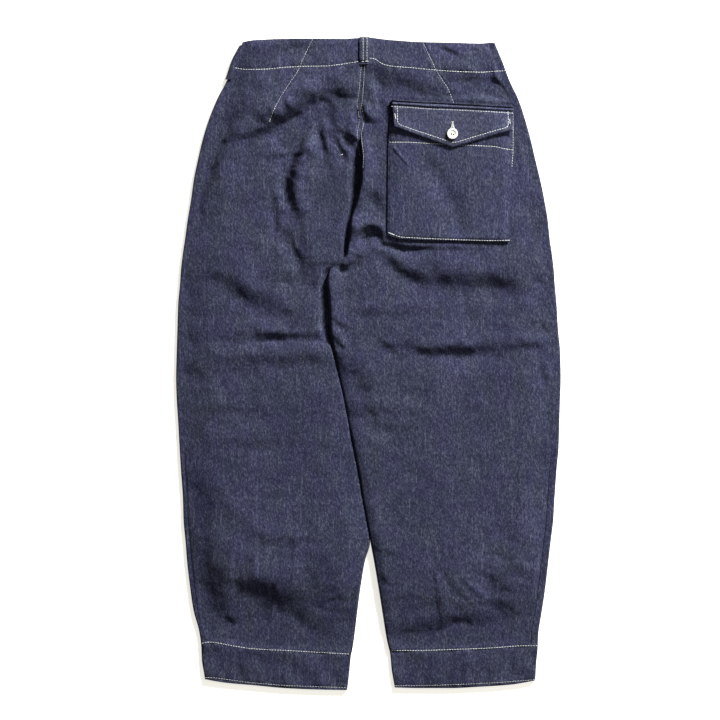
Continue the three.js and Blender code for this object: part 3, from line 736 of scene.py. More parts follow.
class LaidForm:
    """The shape in which the trousers lie: their edges and the height of the cloth."""

    def __init__(self) -> None:
        """Builds the edge curves, the lines of the folds and the unevenness."""
        self.fold_shape = FoldShape()
        self.centre_fold = CentreFold()
        self.leg_crease = LegCrease()
        self.sewn_marks = SewnMarks()
        self.outer = {
            Side.LEFT: SmoothCurve([(s.y, s.left_outer) for s in SECTIONS]),
            Side.RIGHT: SmoothCurve([(s.y, s.right_outer) for s in SECTIONS]),
        }
        self.inner = {
            Side.LEFT: SmoothCurve([(s.y, s.left_inner) for s in SECTIONS]),
            Side.RIGHT: SmoothCurve([(s.y, s.right_inner) for s in SECTIONS]),
        }
        self.waist = SmoothCurve(WAIST_EDGE)
        self.cuff = {side: SmoothCurve(CUFF_SEAM[side]) for side in Side}
        self.hem = {side: SmoothCurve(HEM[side]) for side in Side}
        self.folds = [
            (side, fold, bent_line(fold.start, fold.via, fold.end)) for side in Side for fold in FOLDS[side]
        ]
        self.seams = [(seam, Polyline(seam.points)) for seam in SEAM_LINES]
        self.waves = SoftNoise(seed=11)
        self.crumple = SoftNoise(seed=23)
        self.puckers = SoftNoise(seed=37)

    def strayed(self, x: Array, y: Array) -> tuple[Array, Array]:
        """Places moved a little, so that the lines of the folds stray as soft cloth's do.

        Args:
            x: Places across.
            y: Places along.

        Returns:
            The moved x and y.
        """
        moved_x, moved_y = x, y
        for noise, reach, length, (x_u, x_v), (y_u, y_v) in (
            (self.crumple, 3.0, 30.0, (3, 0), (40, 8)),
            (self.puckers, 1.1, 11.0, (0, 9), (20, 0)),
            (self.waves, 0.6, 4.5, (0, 0), (9, 30)),
        ):
            moved_x = moved_x + reach * noise(x / length + x_u, y / length + x_v)
            moved_y = moved_y + reach * noise(x / length + y_u, y / length + y_v)
        return moved_x, moved_y

    def one_fold(self, number: int, x: Array, y: Array) -> Array:
        """The height that one fold adds, with its width and depth uneven along it.

        Args:
            number: The fold's row in the table, which also sets where its noise is read.
            x: Places across.
            y: Places along.

        Returns:
            The height at each place.
        """
        _, fold, line = self.folds[number]
        shape = self.fold_shape
        distance, along, off_x, off_y = line.nearest(x, y)
        widening = shape.width_change * self.crumple(along / shape.width_run + 2.3 * number, 0.5 * number)
        off = distance / fold.width / (shape.usual_width + widening)
        share = along / line.length
        taper = smooth(share / shape.fading_end) * smooth((1 - share) / shape.fading_end)
        wander = 1 + shape.depth_change * self.waves(
            along / shape.depth_run + 5.7 * number, off * 0.4 + number
        )
        wander = wander + shape.nick_change * self.puckers(along / shape.nick_run + 3.1 * number, off * 0.7)
        strength = fold.depth * (shape.end_strength + (1 - shape.end_strength) * taper) * wander
        facing = np.ones(x.shape)
        if fold.high not in (High.LINE, High.BOTH):
            towards = fold.high.value
            facing = (off_x * towards[0] + off_y * towards[1]) / np.maximum(distance, 1e-6)
            facing = np.clip(shape.end_sharpness * facing, -1, 1)
        return strength * np.abs(facing) * shape.height(fold, off, facing)

    def fold_relief(self, side: Side, x: Array, y: Array) -> Array:
        """How far the folds lift or dip the back.

        Args:
            side: The panel.
            x: Places across.
            y: Places along.

        Returns:
            The height that the folds add at each place.
        """
        relief = np.zeros(x.shape)
        x, y = self.strayed(x, y)
        for number, (panel, fold, line) in enumerate(self.folds):
            if panel is not side:
                continue
            near = line.within(x, y, self.fold_shape.box_margin * fold.width)
            if near.any():
                relief[near] += self.one_fold(number, x[near], y[near])
        return relief

    def seam_relief(self, side: Side, x: Array, y: Array) -> Array:
        """The grooves that the sewing pulls into a back, and the puckers beside them.

        Args:
            side: The panel.
            x: Places across.
            y: Places along.

        Returns:
            The height that the sewing adds at each place.
        """
        relief = np.zeros(x.shape)
        for seam, line in self.seams:
            if seam.side is not side:
                continue
            near = line.within(x, y, SEAM_REACH)
            if not near.any():
                continue
            distance, along, _, _ = line.nearest(x[near], y[near])
            pucker = self.puckers(along / PUCKER_PERIOD, distance / PUCKER_SPREAD + 5.3)
            relief[near] -= seam.groove * bell(distance, GROOVE_WIDTH)
            relief[near] += seam.pucker * pucker * bell(distance, PUCKER_REACH)
            relief[near] += seam.raised * bell(distance - RIDGE_OFFSET, RIDGE_WIDTH)
        return relief

    def folds_left(self, side: Side, x: Array, y: Array) -> Array:
        """How much of a fold is left, since the pocket presses the cloth under it flat.

        Args:
            side: The panel.
            x: Places across.
            y: Places along.

        Returns:
            From 0 under the pocket to 1 clear of it.
        """
        if side is Side.LEFT:
            return np.ones(x.shape)
        across = np.maximum(np.maximum(PRESSED_LOW[0] - x, x - PRESSED_HIGH[0]), 0)
        along = np.maximum(np.maximum(PRESSED_LOW[1] - y, y - PRESSED_HIGH[1]), 0)
        return smooth(np.hypot(across, along) / PRESSED_FADE)

    def turned_edge(self, side: Side, height: Array, from_inner: Array, y: Array) -> Array:
        """Turns the inner edge of a leg down to where the front meets it.

        Args:
            side: The panel.
            height: The height without the turn.
            from_inner: Distances from the leg's inner edge.
            y: Places along.

        Returns:
            The height with it.
        """
        on_leg = 1 - smooth((y - TURN_HEAD_LEVEL) / TURN_HEAD_FADE)
        reach = TURN_WIDTH + TURN_GROWTH[side] * smooth((y - TURN_FOOT_LEVEL) / TURN_RUN)
        inside = np.clip((reach - from_inner) / reach, 0, 1)
        drop = (height - EDGE_RADIUS) * (1 - np.sqrt(np.maximum(1 - inside * inside, 0)))
        return height - drop * on_leg

    def unevenness(self, x: Array, y: Array) -> Array:
        """The soft waves of cloth that has been worn once and laid down.

        Args:
            x: Places across.
            y: Places along.

        Returns:
            The height that they add at each place.
        """
        # Each height in mm goes with a noise whose unit is the length in mm under x and y
        creases = 0.5 - np.abs(self.waves(x / 34 + 0.3 * self.crumple(x / 15, y / 15), y / 24 + 11))
        return (
            1.3 * self.waves(x / 58 + 7, y / 74 + 3)
            + 0.5 * self.crumple(x / 25, y / 21)
            + 0.16 * self.crumple(x / 9 + 31, y / 11 + 17)
            + 0.7 * creases
        )

    def knee_bulge(self, side: Side, y: Array) -> Array:
        """How far the lower leg swells before it narrows into its cuff."""
        return KNEE_FULLNESS[side.value] * np.exp(-(((y - KNEE_LEVEL) / KNEE_REACH) ** 2))

    def back_top(self, side: Side, x: Array, y: Array, detail: bool = True) -> Array:
        """Height of the upper face of a back.

        Args:
            side: The panel.
            x: Places across.
            y: Places along.
            detail: Whether the sewing and the fine unevenness are in it.

        Returns:
            The height at each place.
        """
        x = np.asarray(x, dtype=float)
        y = np.asarray(y, dtype=float)
        from_side = np.abs(self.outer[side](y) - x) - SEAM_INSET[side]
        from_inner = np.abs(x - self.inner[side](y))
        from_cuff = y - self.cuff[side](x)
        from_waist = self.waist(x) - y
        on_body = smooth((y - CROTCH_LEVEL) / SEAT_RUN)
        fullness = LEG_FULLNESS + (SEAT_FULLNESS - LEG_FULLNESS) * on_body + self.knee_bulge(side, y)
        to_waist = WAIST_SHARE + (1 - WAIST_SHARE) * smooth(from_waist / WAIST_FADE)
        settled = smooth(from_cuff / HEM_FADE) * to_waist * smooth(from_side / SIDE_ROLL)
        rolled = smooth(from_inner / INNER_ROLL[side.value])
        inner_rise = np.maximum(on_body, INNER_LEAST + (1 - INNER_LEAST) * rolled)
        clear = smooth(from_side / CALM_SIDE) * smooth(from_cuff / CALM_CUFF)
        clear = clear * smooth(from_waist / CALM_WAIST)
        at_seam = (1 - smooth(from_inner / CALM_SEAM)) * smooth((y - CALM_SEAM_LEVEL) / CALM_SEAM_RUN)
        left = self.folds_left(side, x, y)
        height = EDGE_HEIGHT + fullness * settled * inner_rise
        height = height + self.fold_relief(side, x, y) * clear * (1 - at_seam) * left
        if detail:
            height = height + self.unevenness(x, y) * clear * left
            height = height + self.seam_relief(side, x, y) * smooth(from_waist / 3)
            height = self.sewn_marks.add(height, y - self.waist(x), from_side, from_inner, y)
            height = height + self.centre_fold.height(side, from_inner, y)
            height = height + self.leg_crease.height(side, from_inner, y)
        settling = LOWEST_BACK_TOP + SETTLE_ROOM
        depth = (np.minimum(height, settling) - settling) / SETTLE_ROOM
        height = np.where(height > settling, height, LOWEST_BACK_TOP + SETTLE_ROOM * np.exp(depth))
        rolled_top = TOP_ROLL_SHARE * rim_drop(from_waist, TOP_ROLL)
        return self.turned_edge(side, height, from_inner, y) - rolled_top

    def level_at(self, side: Side, x: Array, level: Array) -> Array:
        """A point's own Y, once the curves of the waist edge and cuff seam are added to its level.

        Args:
            side: The panel.
            x: Places across.
            level: The level of the point's row.

        Returns:
            The points' y.
        """
        near_waist = 1 - smooth((WAIST_LEVEL - level) / 90)
        near_cuff = 1 - smooth((level - CUFF_SEAM_LEVEL) / 80)
        waist_shift = (self.waist(x) - WAIST_LEVEL) * near_waist
        cuff_shift = (self.cuff[side](x) - SEAM_OVERLAP - CUFF_SEAM_LEVEL) * near_cuff
        return level + waist_shift + cuff_shift


FORM = LaidForm()


def middle_shift() -> tuple[float, float]:
    """How far the frame's origin is from the tables' origin, from the button's place in both.

    Returns:
        The shift in x and y, in millimetres.
    """
    low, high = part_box("flap_button")
    return (
        (low[0] + high[0]) / 2 / MM - FLAP_BUTTON[0],
        (low[1] + high[1]) / 2 / MM - FLAP_BUTTON[1],
    )


SHIFT = middle_shift()


def in_metres(points: Array) -> Array:
    """Points of the tables as points of the frame, in metres.

    Args:
        points: Rows of x, y and z in millimetres.

    Returns:
        The same rows in metres, about the frame's origin.
    """
    moved = np.array(points, dtype=float).reshape(-1, 3)
    moved[:, 0] += SHIFT[0]
    moved[:, 1] += SHIFT[1]
    return moved * MM


def spaced(total: float, first: Sequence[float], last: Sequence[float], cell: float = CELL) -> Array:
    """Places along a length, close together near its ends.

    Args:
        total: The length.
        first: Offsets from the start.
        last: Offsets from the end.
        cell: The spacing between.

    Returns:
        The places, from 0 to the length.
    """
    low = first[-1]
    high = total - last[-1]
    count = max(int(round((high - low) / cell)), 2)
    middle = np.linspace(low, high, count + 1)
    return np.concatenate((first[:-1], middle, total - np.array(last[::-1])[1:]))


def new_object(name: str, vertices: Array, faces: Sequence[Sequence[int]]) -> bpy.types.Object:
    """A mesh object at the origin, smooth where it is round, with its faces pointing out.

    Args:
        name: The piece's name.
        vertices: Points in metres.
        faces: Rows of vertex numbers.

    Returns:
        The object.
    """
    mesh = bpy.data.meshes.new(name)
    mesh.from_pydata([tuple(v) for v in vertices], [], faces)
    mesh.update()
    obj = bpy.data.objects.new(name, mesh)
    bpy.context.collection.objects.link(obj)
    bpy.ops.object.select_all(action="DESELECT")
    obj.select_set(True)
    bpy.context.view_layer.objects.active = obj
    bpy.ops.object.mode_set(mode="EDIT")
    bpy.ops.mesh.select_all(action="SELECT")
    bpy.ops.mesh.normals_make_consistent(inside=False)
    bpy.ops.object.mode_set(mode="OBJECT")
    bpy.ops.object.shade_smooth_by_angle(angle=math.radians(55))
    obj.select_set(False)
    return obj


def closed_shell(name: str, outer: Array, inner: Array, coarse: int = 4) -> bpy.types.Object:
    """A thin closed cloth between two grids, with fewer faces on its hidden side.

    Args:
        name: The piece's name.
        outer: Points of the side that shows, rows by columns by 3, in millimetres.
        inner: Points of the hidden side, in the same order.
        coarse: How many cells of the shown side one cell of the hidden side spans.

    Returns:
        The object.
    """
    rows, columns, _ = outer.shape
    row_stops = sorted({*range(0, rows - 1, coarse), rows - 1})
    column_stops = sorted({*range(0, columns - 1, coarse), columns - 1})
    hidden = inner[np.ix_(row_stops, column_stops)]
    vertices = in_metres(np.concatenate((outer.reshape(-1, 3), hidden.reshape(-1, 3))))
    base = rows * columns

    def shown(i: int, j: int) -> int:
        """The number of a vertex of the shown side."""
        return i * columns + j

    def back(i: int, j: int) -> int:
        """The number of a vertex of the hidden side."""
        return base + i * len(column_stops) + j

    faces = [
        (shown(i, j), shown(i + 1, j), shown(i + 1, j + 1), shown(i, j + 1))
        for i in range(rows - 1)
        for j in range(columns - 1)
    ]
    faces += [
        (back(i, j), back(i, j + 1), back(i + 1, j + 1), back(i + 1, j))
        for i in range(len(row_stops) - 1)
        for j in range(len(column_stops) - 1)
    ]
    for k in range(len(column_stops) - 1):
        start, stop = column_stops[k], column_stops[k + 1]
        for i, h in ((0, 0), (rows - 1, len(row_stops) - 1)):
            run = [shown(i, j) for j in range(start, stop + 1)]
            faces.append((*run, back(h, k + 1), back(h, k)))
    for k in range(len(row_stops) - 1):
        start, stop = row_stops[k], row_stops[k + 1]
        for j, h in ((0, 0), (columns - 1, len(column_stops) - 1)):
            run = [shown(i, j) for i in range(start, stop + 1)]
            faces.append((*run, back(k + 1, h), back(k, h)))
    return new_object(name, vertices, faces)


def closed_ring(name: str, outer: Array, inner: Array) -> bpy.types.Object:
    """A flattened tube of cloth between two grids whose columns close on themselves.

    Args:
        name: The piece's name.
        outer: Points of its outside, rows by columns by 3, in millimetres.
        inner: Points of its inside.

    Returns:
        The object.
    """
    rows, columns, _ = outer.shape
    vertices = in_metres(np.concatenate((outer.reshape(-1, 3), inner.reshape(-1, 3))))
    base = rows * columns
    faces = []
    for j in range(columns):
        after = (j + 1) % columns
        for i in range(rows - 1):
            a, b = i * columns + j, (i + 1) * columns + j
            c, d = (i + 1) * columns + after, i * columns + after
            faces.append((a, b, c, d))
            faces.append((base + a, base + d, base + c, base + b))
        last = (rows - 1) * columns
        faces.append((j, after, base + after, base + j))
        faces.append((last + after, last + j, base + last + j, base + last + after))
    return new_object(name, vertices, faces)


def srgb(code: str) -> tuple[float, float, float, float]:
    """A hex colour as the linear values that a shader takes.

    Args:
        code: Six hex digits.

    Returns:
        Red, green, blue and alpha.
    """
    values = [int(code[i:i + 2], 16) / 255 for i in (0, 2, 4)]
    linear = [v / 12.92 if v <= 0.04045 else ((v + 0.055) / 1.055) ** 2.4 for v in values]
    return (*linear, 1.0)


def add_node(
    tree: bpy.types.NodeTree, kind: str, links: dict | None = None,
    stops: Sequence[tuple[float, str]] = (), **settings,
) -> bpy.types.Node:
    """Adds a node with its settings and links.

    Args:
        tree: The material's tree.
        kind: The node's type.
        links: Sockets by the name or number of the input that each feeds.
        stops: A colour ramp's places from 0 to 1 with their hex colours.
        settings: The node's own settings, or its inputs' values with _ for a space.

    Returns:
        The node.
    """
    node = tree.nodes.new(kind)
    for key, value in settings.items():
        if hasattr(node, key):
            setattr(node, key, value)
        else:
            node.inputs[key.replace("_", " ")].default_value = value
    for socket, source in (links or {}).items():
        tree.links.new(source, node.inputs[socket])
    for number, (place, code) in enumerate(stops):
        elements = node.color_ramp.elements
        element = elements[number] if number < len(elements) else elements.new(place)
        element.position = place
        element.color = srgb(code)
    return node


def new_material(name: str) -> tuple[bpy.types.Material, bpy.types.NodeTree, bpy.types.Node]:
    """An empty node material with its main shader.

    Args:
        name: The material's name.

    Returns:
        The material, its tree and its Principled shader.
    """
    material = bpy.data.materials.new(name)
    material.use_nodes = True
    tree = material.node_tree
    return material, tree, tree.nodes["Principled BSDF"]


def cloud_base(
    tree: bpy.types.NodeTree, shader: bpy.types.Node, length: float, detail: float,
    stops: Sequence[tuple[float, str]],
) -> None:
    """Gives a shader a base colour that changes softly from place to place.

    Args:
        tree: The material's tree.
        shader: Its shader.
        length: The size of the clouding in millimetres.
        detail: How many finer layers it has.
        stops: Places from 0 to 1 with their hex colours.
    """
    place = add_node(tree, "ShaderNodeTexCoord").outputs["Object"]
    noise = add_node(tree, "ShaderNodeTexNoise", {"Vector": place}, Scale=1 / (length * MM), Detail=detail)
    colour = add_node(tree, "ShaderNodeValToRGB", {"Fac": noise.outputs["Fac"]}, stops=stops)
    tree.links.new(colour.outputs["Color"], shader.inputs["Base Color"])


@dataclass(frozen=True)
class RawIndigoDenim:
    """Unwashed indigo denim: a matt twill of dark warp over pale weft, with slubs down the warp.

    Its threads are about 0.5 mm apart, too fine to show from here, so the flecks and slubs are
    drawn at three or four threads. They give the eye a fine speckle that runs down the cloth,
    crossed by the faint slant of the twill, and a few long pale slubs.
    """

    name: str = "raw_indigo_denim"
    dark: str = "18192c"
    middle: str = "2f3047"
    pale: str = "5a5c73"
    grey_dark: str = "181b2a"
    grey_middle: str = "2f3244"
    grey_pale: str = "5b5f6d"
    fleck_size: tuple[float, float, float] = (1.9, 4.6, 1.9)
    grain_size: tuple[float, float, float] = (1.3, 1.7, 1.3)
    slub_size: tuple[float, float, float] = (1.7, 40.0, 4.0)
    mottle_size: tuple[float, float, float] = (12.0, 20.0, 12.0)
    cloud_size: tuple[float, float, float] = (80.0, 120.0, 80.0)
    cast_size: tuple[float, float, float] = (26.0, 40.0, 26.0)
    twill_size: tuple[float, float, float] = (1.7, 6.0, 1.7)
    twill_slant: float = math.radians(-27)
    bump_height: float = 0.28
    bump_strength: float = 0.5
    turn: float = 0.0

    def pattern(
        self, tree: bpy.types.NodeTree, size: tuple[float, float, float], turn: float = 0.0,
        **settings: float,
    ) -> bpy.types.NodeSocket:
        """A noise on the object's own coordinates.

        Args:
            tree: The material's tree.
            size: The length in millimetres of one unit of the noise along X, Y and Z.
            turn: The pattern's turn about Z in radians.
            settings: The noise's own inputs.

        Returns:
            The noise's value.
        """
        coordinates = add_node(tree, "ShaderNodeTexCoord")
        turned = add_node(
            tree, "ShaderNodeMapping", {"Vector": coordinates.outputs["Object"]},
            Rotation=(0.0, 0.0, self.turn + turn),
        )
        scale = tuple(1.0 / (length * MM) for length in size)
        scaled = add_node(tree, "ShaderNodeMapping", {"Vector": turned.outputs["Vector"]}, Scale=scale)
        place = scaled.outputs["Vector"]
        return add_node(tree, "ShaderNodeTexNoise", {"Vector": place}, Scale=1.0, **settings).outputs["Fac"]

    def weighted(
        self, tree: bpy.types.NodeTree, parts: Sequence[tuple[bpy.types.NodeSocket, float]]
    ) -> bpy.types.NodeSocket:
        """The sum of values, each less a half and times its weight.

        Args:
            tree: The material's tree.
            parts: The values and their weights.

        Returns:
            The sum.
        """
        total = add_node(tree, "ShaderNodeValue")
        total.outputs[0].default_value = 0.5 - 0.5 * sum(weight for _, weight in parts)
        socket = total.outputs[0]
        for value, weight in parts:
            step = add_node(tree, "ShaderNodeMath", {0: value, 2: socket}, operation="MULTIPLY_ADD")
            step.inputs[1].default_value = weight
            socket = step.outputs[0]
        return socket

    def build(self) -> bpy.types.Material:
        """Makes the material.

        Returns:
            The material.
        """
        material, tree, shader = new_material(self.name)
        fleck = self.pattern(tree, self.fleck_size, Detail=2.0, Roughness=0.6)
        grain = self.pattern(tree, self.grain_size, Detail=1.0)
        twill = self.pattern(tree, self.twill_size, self.twill_slant, Detail=1.0)
        slub = self.pattern(tree, self.slub_size, Detail=1.0)
        mottle = self.pattern(tree, self.mottle_size, Detail=3.0, Roughness=0.6)
        cloud = self.pattern(tree, self.cloud_size, Detail=2.0)
        sparse = add_node(
            tree, "ShaderNodeMapRange", {"Value": slub}, interpolation_type="SMOOTHSTEP",
            From_Min=0.60, From_Max=0.74, To_Min=0.5, To_Max=1.0,
        )
        weave = self.weighted(tree, ((fleck, 1.0), (grain, 0.75), (twill, 0.55)))
        tone = self.weighted(
            tree, ((weave, 0.9), (sparse.outputs["Result"], 0.4), (mottle, 0.2), (cloud, 0.16))
        )
        violet, grey = (
            add_node(
                tree, "ShaderNodeValToRGB", {"Fac": tone}, stops=((0.12, dark), (0.5, middle), (0.95, pale))
            ).outputs["Color"]
            for dark, middle, pale in (
                (self.dark, self.middle, self.pale),
                (self.grey_dark, self.grey_middle, self.grey_pale),
            )
        )
        cast = self.pattern(tree, self.cast_size, Detail=1.5)
        spread = add_node(
            tree, "ShaderNodeMapRange", {"Value": cast}, interpolation_type="SMOOTHSTEP",
            From_Min=0.36, From_Max=0.64,
        )
        mixed = add_node(
            tree, "ShaderNodeMixRGB", {"Fac": spread.outputs["Result"], "Color1": violet, "Color2": grey}
        )
        bump = add_node(
            tree, "ShaderNodeBump", {"Height": weave}, Strength=self.bump_strength,
            Distance=self.bump_height * MM,
        )
        tree.links.new(mixed.outputs["Color"], shader.inputs["Base Color"])
        tree.links.new(bump.outputs["Normal"], shader.inputs["Normal"])
        shader.inputs["Roughness"].default_value = 0.92
        shader.inputs["Specular IOR Level"].default_value = 0.08
        shader.inputs["Sheen Weight"].default_value = 0.03
        shader.inputs["Sheen Roughness"].default_value = 0.5
        return material


@dataclass(frozen=True)
class SewingThread:
    """Ecru spun polyester thread: matt, with a slight change of tone from stitch to stitch."""

    name: str = "ecru_sewing_thread"
    shade: str = "a9ada9"
    light: str = "d6dad6"
    tone_length: float = 5.88

    def build(self) -> bpy.types.Material:
        """Makes the material.

        Returns:
            The material.
        """
        material, tree, shader = new_material(self.name)
        cloud_base(tree, shader, self.tone_length, 2.0, ((0.35, self.shade), (0.65, self.light)))
        shader.inputs["Roughness"].default_value = 0.7
        return material


@dataclass(frozen=True)
class CaseinButton:
    """An off-white cast button, polished, with faint clouding like that of nut or shell."""

    name: str = "off_white_cast_button"
    shade: str = "d9d4c4"
    light: str = "f6f4ea"
    cloud_length: float = 3.846

    def build(self) -> bpy.types.Material:
        """Makes the material.

        Returns:
            The material.
        """
        material, tree, shader = new_material(self.name)
        cloud_base(tree, shader, self.cloud_length, 3.0, ((0.3, self.shade), (0.6, self.light)))
        shader.inputs["Roughness"].default_value = 0.28
        shader.inputs["IOR"].default_value = 1.54
        return material


@dataclass
class Finishes:
    """The materials of the garment, each made once."""

    denim: bpy.types.Material = field(default_factory=lambda: RawIndigoDenim().build())
    # Lighter copy of the denim for the pocket face and gusset: painted light for the fuller light on the
    # raised pocket.
    pocket_denim_painted_light: bpy.types.Material = field(
        default_factory=lambda: RawIndigoDenim(
            name="raw_indigo_denim_pocket_painted_light", dark="191b2d", middle="32344c", pale="5e6178",
            grey_dark="191c2c", grey_middle="333649", grey_pale="5f6373", turn=0.02,
        ).build()
    )
    # Lighter copy of the denim for the flap: painted light for the light on the flap, which tilts towards
    # the key lamp.
    flap_denim_painted_light: bpy.types.Material = field(
        default_factory=lambda: RawIndigoDenim(
            name="raw_indigo_denim_flap_painted_light", dark="1c1e30", middle="37394e", pale="64677d",
            grey_dark="1c1f2e", grey_middle="383a4b", grey_pale="656876", turn=-0.05,
        ).build()
    )
    thread: bpy.types.Material = field(default_factory=lambda: SewingThread().build())
    button: bpy.types.Material = field(default_factory=lambda: CaseinButton().build())


def dress(
    piece: bpy.types.Object, material: bpy.types.Material, nodes: Sequence[str] = (),
) -> bpy.types.Object:
    """Gives a piece its finish, its body and the solids that it stands for.

    Args:
        piece: The piece.
        material: Its finish.
        nodes: The solids that it replaces.

    Returns:
        The piece.
    """
    piece.data.materials.clear()
    piece.data.materials.append(material)
    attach(piece, "root")
    if nodes:
        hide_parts(*nodes)
    LOG.info("%s: %d faces", piece.name, len(piece.data.polygons))
    return piece


@dataclass
class LegSide:
    """One side of the trousers: its back, its front and its cuff."""

    side: Side
    finishes: Finishes
    turn_steps: int = 10
    front_steps: int = 26
    cuff_steps: int = 90
    widest: float = 270.0
    joined_level: float = 140.0
    joined_run: float = 30.0
    cuff_depth: float = 54.0
    cuff_puff: float = 0.7
    cuff_groove: float = 0.45
    cuff_groove_width: float = 1.6
    cuff_pucker: float = 0.8
    cuff_wave: float = 1.5

    def levels(self) -> Array:
        """Levels of the rows, from the waist to the cuff seam."""
        total = WAIST_LEVEL - CUFF_SEAM_LEVEL
        return WAIST_LEVEL - spaced(total, WAIST_STEPS, CUFF_END_STEPS)

    def back_columns(self, level: float) -> Array:
        """Places across a back at one level.

        Args:
            level: The row's level.

        Returns:
            The columns' x, from the inner edge to the side seam.
        """
        out = self.side.out
        start = float(FORM.inner[self.side](level)) - out * SEAM_OVERLAP
        end = float(FORM.outer[self.side](level)) - out * SEAM_INSET[self.side]
        width = abs(end - start)
        return start + out * width * self.shares

    @property
    def shares(self) -> Array:
        """The columns of the back as shares of its width, the same number on every row."""
        return spaced(self.widest, EDGE_STEPS, SIDE_STEPS) / self.widest

    def make_back(self) -> bpy.types.Object:
        """The back panel, a fine shell with its creases and pressed seams.

        Returns:
            The piece.
        """
        levels = self.levels()
        x = np.stack([self.back_columns(float(level)) for level in levels])
        y = FORM.level_at(self.side, x, levels[:, None])
        z = FORM.back_top(self.side, x, y)
        outer = np.stack((x, y, z), axis=2)
        inner = outer.copy()
        inner[:, :, 2] -= CLOTH
        inner[:, :, 2] = np.maximum(inner[:, :, 2], CLOTH + 0.1)
        name = f"{self.side.value}_back"
        piece = closed_shell(f"{name}_cloth", outer, inner)
        return dress(piece, self.finishes.denim, [name])

    def front_path(self, level: float, radius: float) -> list[Point]:
        """The front's section at one level, from the leg's inner edge round to the side seam.

        Args:
            level: The row's level.
            radius: The radius of the turned edge, outside or inside the cloth.

        Returns:
            Points of x and z.
        """
        out = self.side.out
        outer_edge = float(FORM.outer[self.side](level))
        near = float(FORM.inner[self.side](level)) - out * SEAM_OVERLAP + out * EDGE_RADIUS
        far = outer_edge - out * EDGE_RADIUS
        seam = outer_edge - out * SEAM_INSET[self.side]
        low = EDGE_RADIUS - radius
        lift = float(1 - smooth(np.array((level - self.joined_level) / self.joined_run))) * radius
        path = []
        for k in range(4):
            angle = math.pi * k / 8
            path.append((near - out * EDGE_RADIUS * math.cos(angle), low + lift * (1 - math.sin(angle))))
        for k in range(self.front_steps):
            path.append((near + (far - near) * k / self.front_steps, low))
        for k in range(self.turn_steps + 1):
            angle = -math.pi / 2 + math.pi * k / self.turn_steps
            path.append((far + out * radius * math.cos(angle), EDGE_RADIUS + radius * math.sin(angle)))
        path.extend((far + (seam - far) * share, EDGE_RADIUS + radius) for share in (0.3, 0.6, 0.85, 1.0))
        return path

    def make_front(self) -> bpy.types.Object:
        """The front panel, flat underneath and turned up round the side edge.

        Returns:
            The piece.
        """
        levels = self.levels()
        grids = []
        for radius in (EDGE_RADIUS, EDGE_RADIUS - CLOTH):
            layer = np.array([self.front_path(level, radius) for level in levels])
            x = layer[:, :, 0]
            y = FORM.level_at(self.side, x, levels[:, None])
            grids.append(np.stack((x, y, layer[:, :, 1]), axis=2))
        name = f"{self.side.value}_front"
        piece = closed_shell(f"{name}_cloth", grids[0], grids[1])
        return dress(piece, self.finishes.denim, [name])

    def cuff_lift(self, x: Array, share: Array) -> Array:
        """How far the cuff's upper face stands over its plain height.

        Args:
            x: Places across.
            share: Places from the seam, 0, to the hem, 1.

        Returns:
            The lift at each place.
        """
        from_seam = share * self.cuff_depth
        from_hem = (1 - share) * self.cuff_depth
        puff = self.cuff_puff * smooth(from_seam / 2.0) * smooth(from_hem / 3.0)
        stitched = self.cuff_groove * (
            bell(from_seam - 3.4, self.cuff_groove_width) + bell(from_hem - 3.6, self.cuff_groove_width)
        )
        pulled = FORM.puckers(x / 8.0, from_seam / 20 + 2) * self.cuff_pucker
        waves = FORM.waves(x / 24 + 3, share * 2.6) * self.cuff_wave
        return puff - stitched + (pulled + waves) * smooth(from_seam / 4) * smooth(from_hem / 4)

    def cuff_path(self, share: float, radius: float) -> Array:
        """The cuff's section at one level, all the way round.

        Args:
            share: The row's place from the seam, 0, to the hem, 1.
            radius: The radius of its edges, outside or inside the cloth.

        Returns:
            Rows of x and z.
        """
        out = self.side.out
        level = CUFF_SEAM_LEVEL + (HEM_LEVEL - CUFF_SEAM_LEVEL) * share
        near = float(FORM.inner[self.side](level)) + out * EDGE_RADIUS
        far = float(FORM.outer[self.side](level)) - out * EDGE_RADIUS
        forth = np.linspace(near, far, self.cuff_steps, endpoint=False)
        back = np.linspace(far, near, self.cuff_steps, endpoint=False)
        turn = np.linspace(0, math.pi, self.turn_steps, endpoint=False)
        lift = self.cuff_lift(back, np.full(self.cuff_steps, share)) * float(radius == EDGE_RADIUS)
        across = np.concatenate(
            (forth, far + out * radius * np.sin(turn), back, near - out * radius * np.sin(turn))
        )
        height = np.concatenate((
            np.full(self.cuff_steps, EDGE_RADIUS - radius),
            EDGE_RADIUS - radius * np.cos(turn),
            EDGE_RADIUS + radius + lift,
            EDGE_RADIUS + radius * np.cos(turn),
        ))
        return np.stack((across, height), axis=1)

    def make_cuff(self) -> bpy.types.Object:
        """The cuff, a band round the end of the leg.

        Returns:
            The piece.
        """
        shares = spaced(self.cuff_depth, (0.0, 0.2, 0.7, 1.5), (0.0, 0.3, 0.9, 1.8), 1.5) / self.cuff_depth
        layers = []
        for radius in (EDGE_RADIUS, EDGE_RADIUS - CLOTH):
            layer = np.stack([self.cuff_path(share, radius) for share in shares])
            x = layer[:, :, 0]
            top = FORM.cuff[self.side](x)
            bottom = FORM.hem[self.side](x)
            y = top + (bottom - top) * shares[:, None]
            layers.append(np.stack((x, y, layer[:, :, 1]), axis=2))
        name = f"{self.side.value}_cuff"
        piece = closed_ring(f"{name}_cloth", layers[0], layers[1])
        return dress(piece, self.finishes.denim, [name])


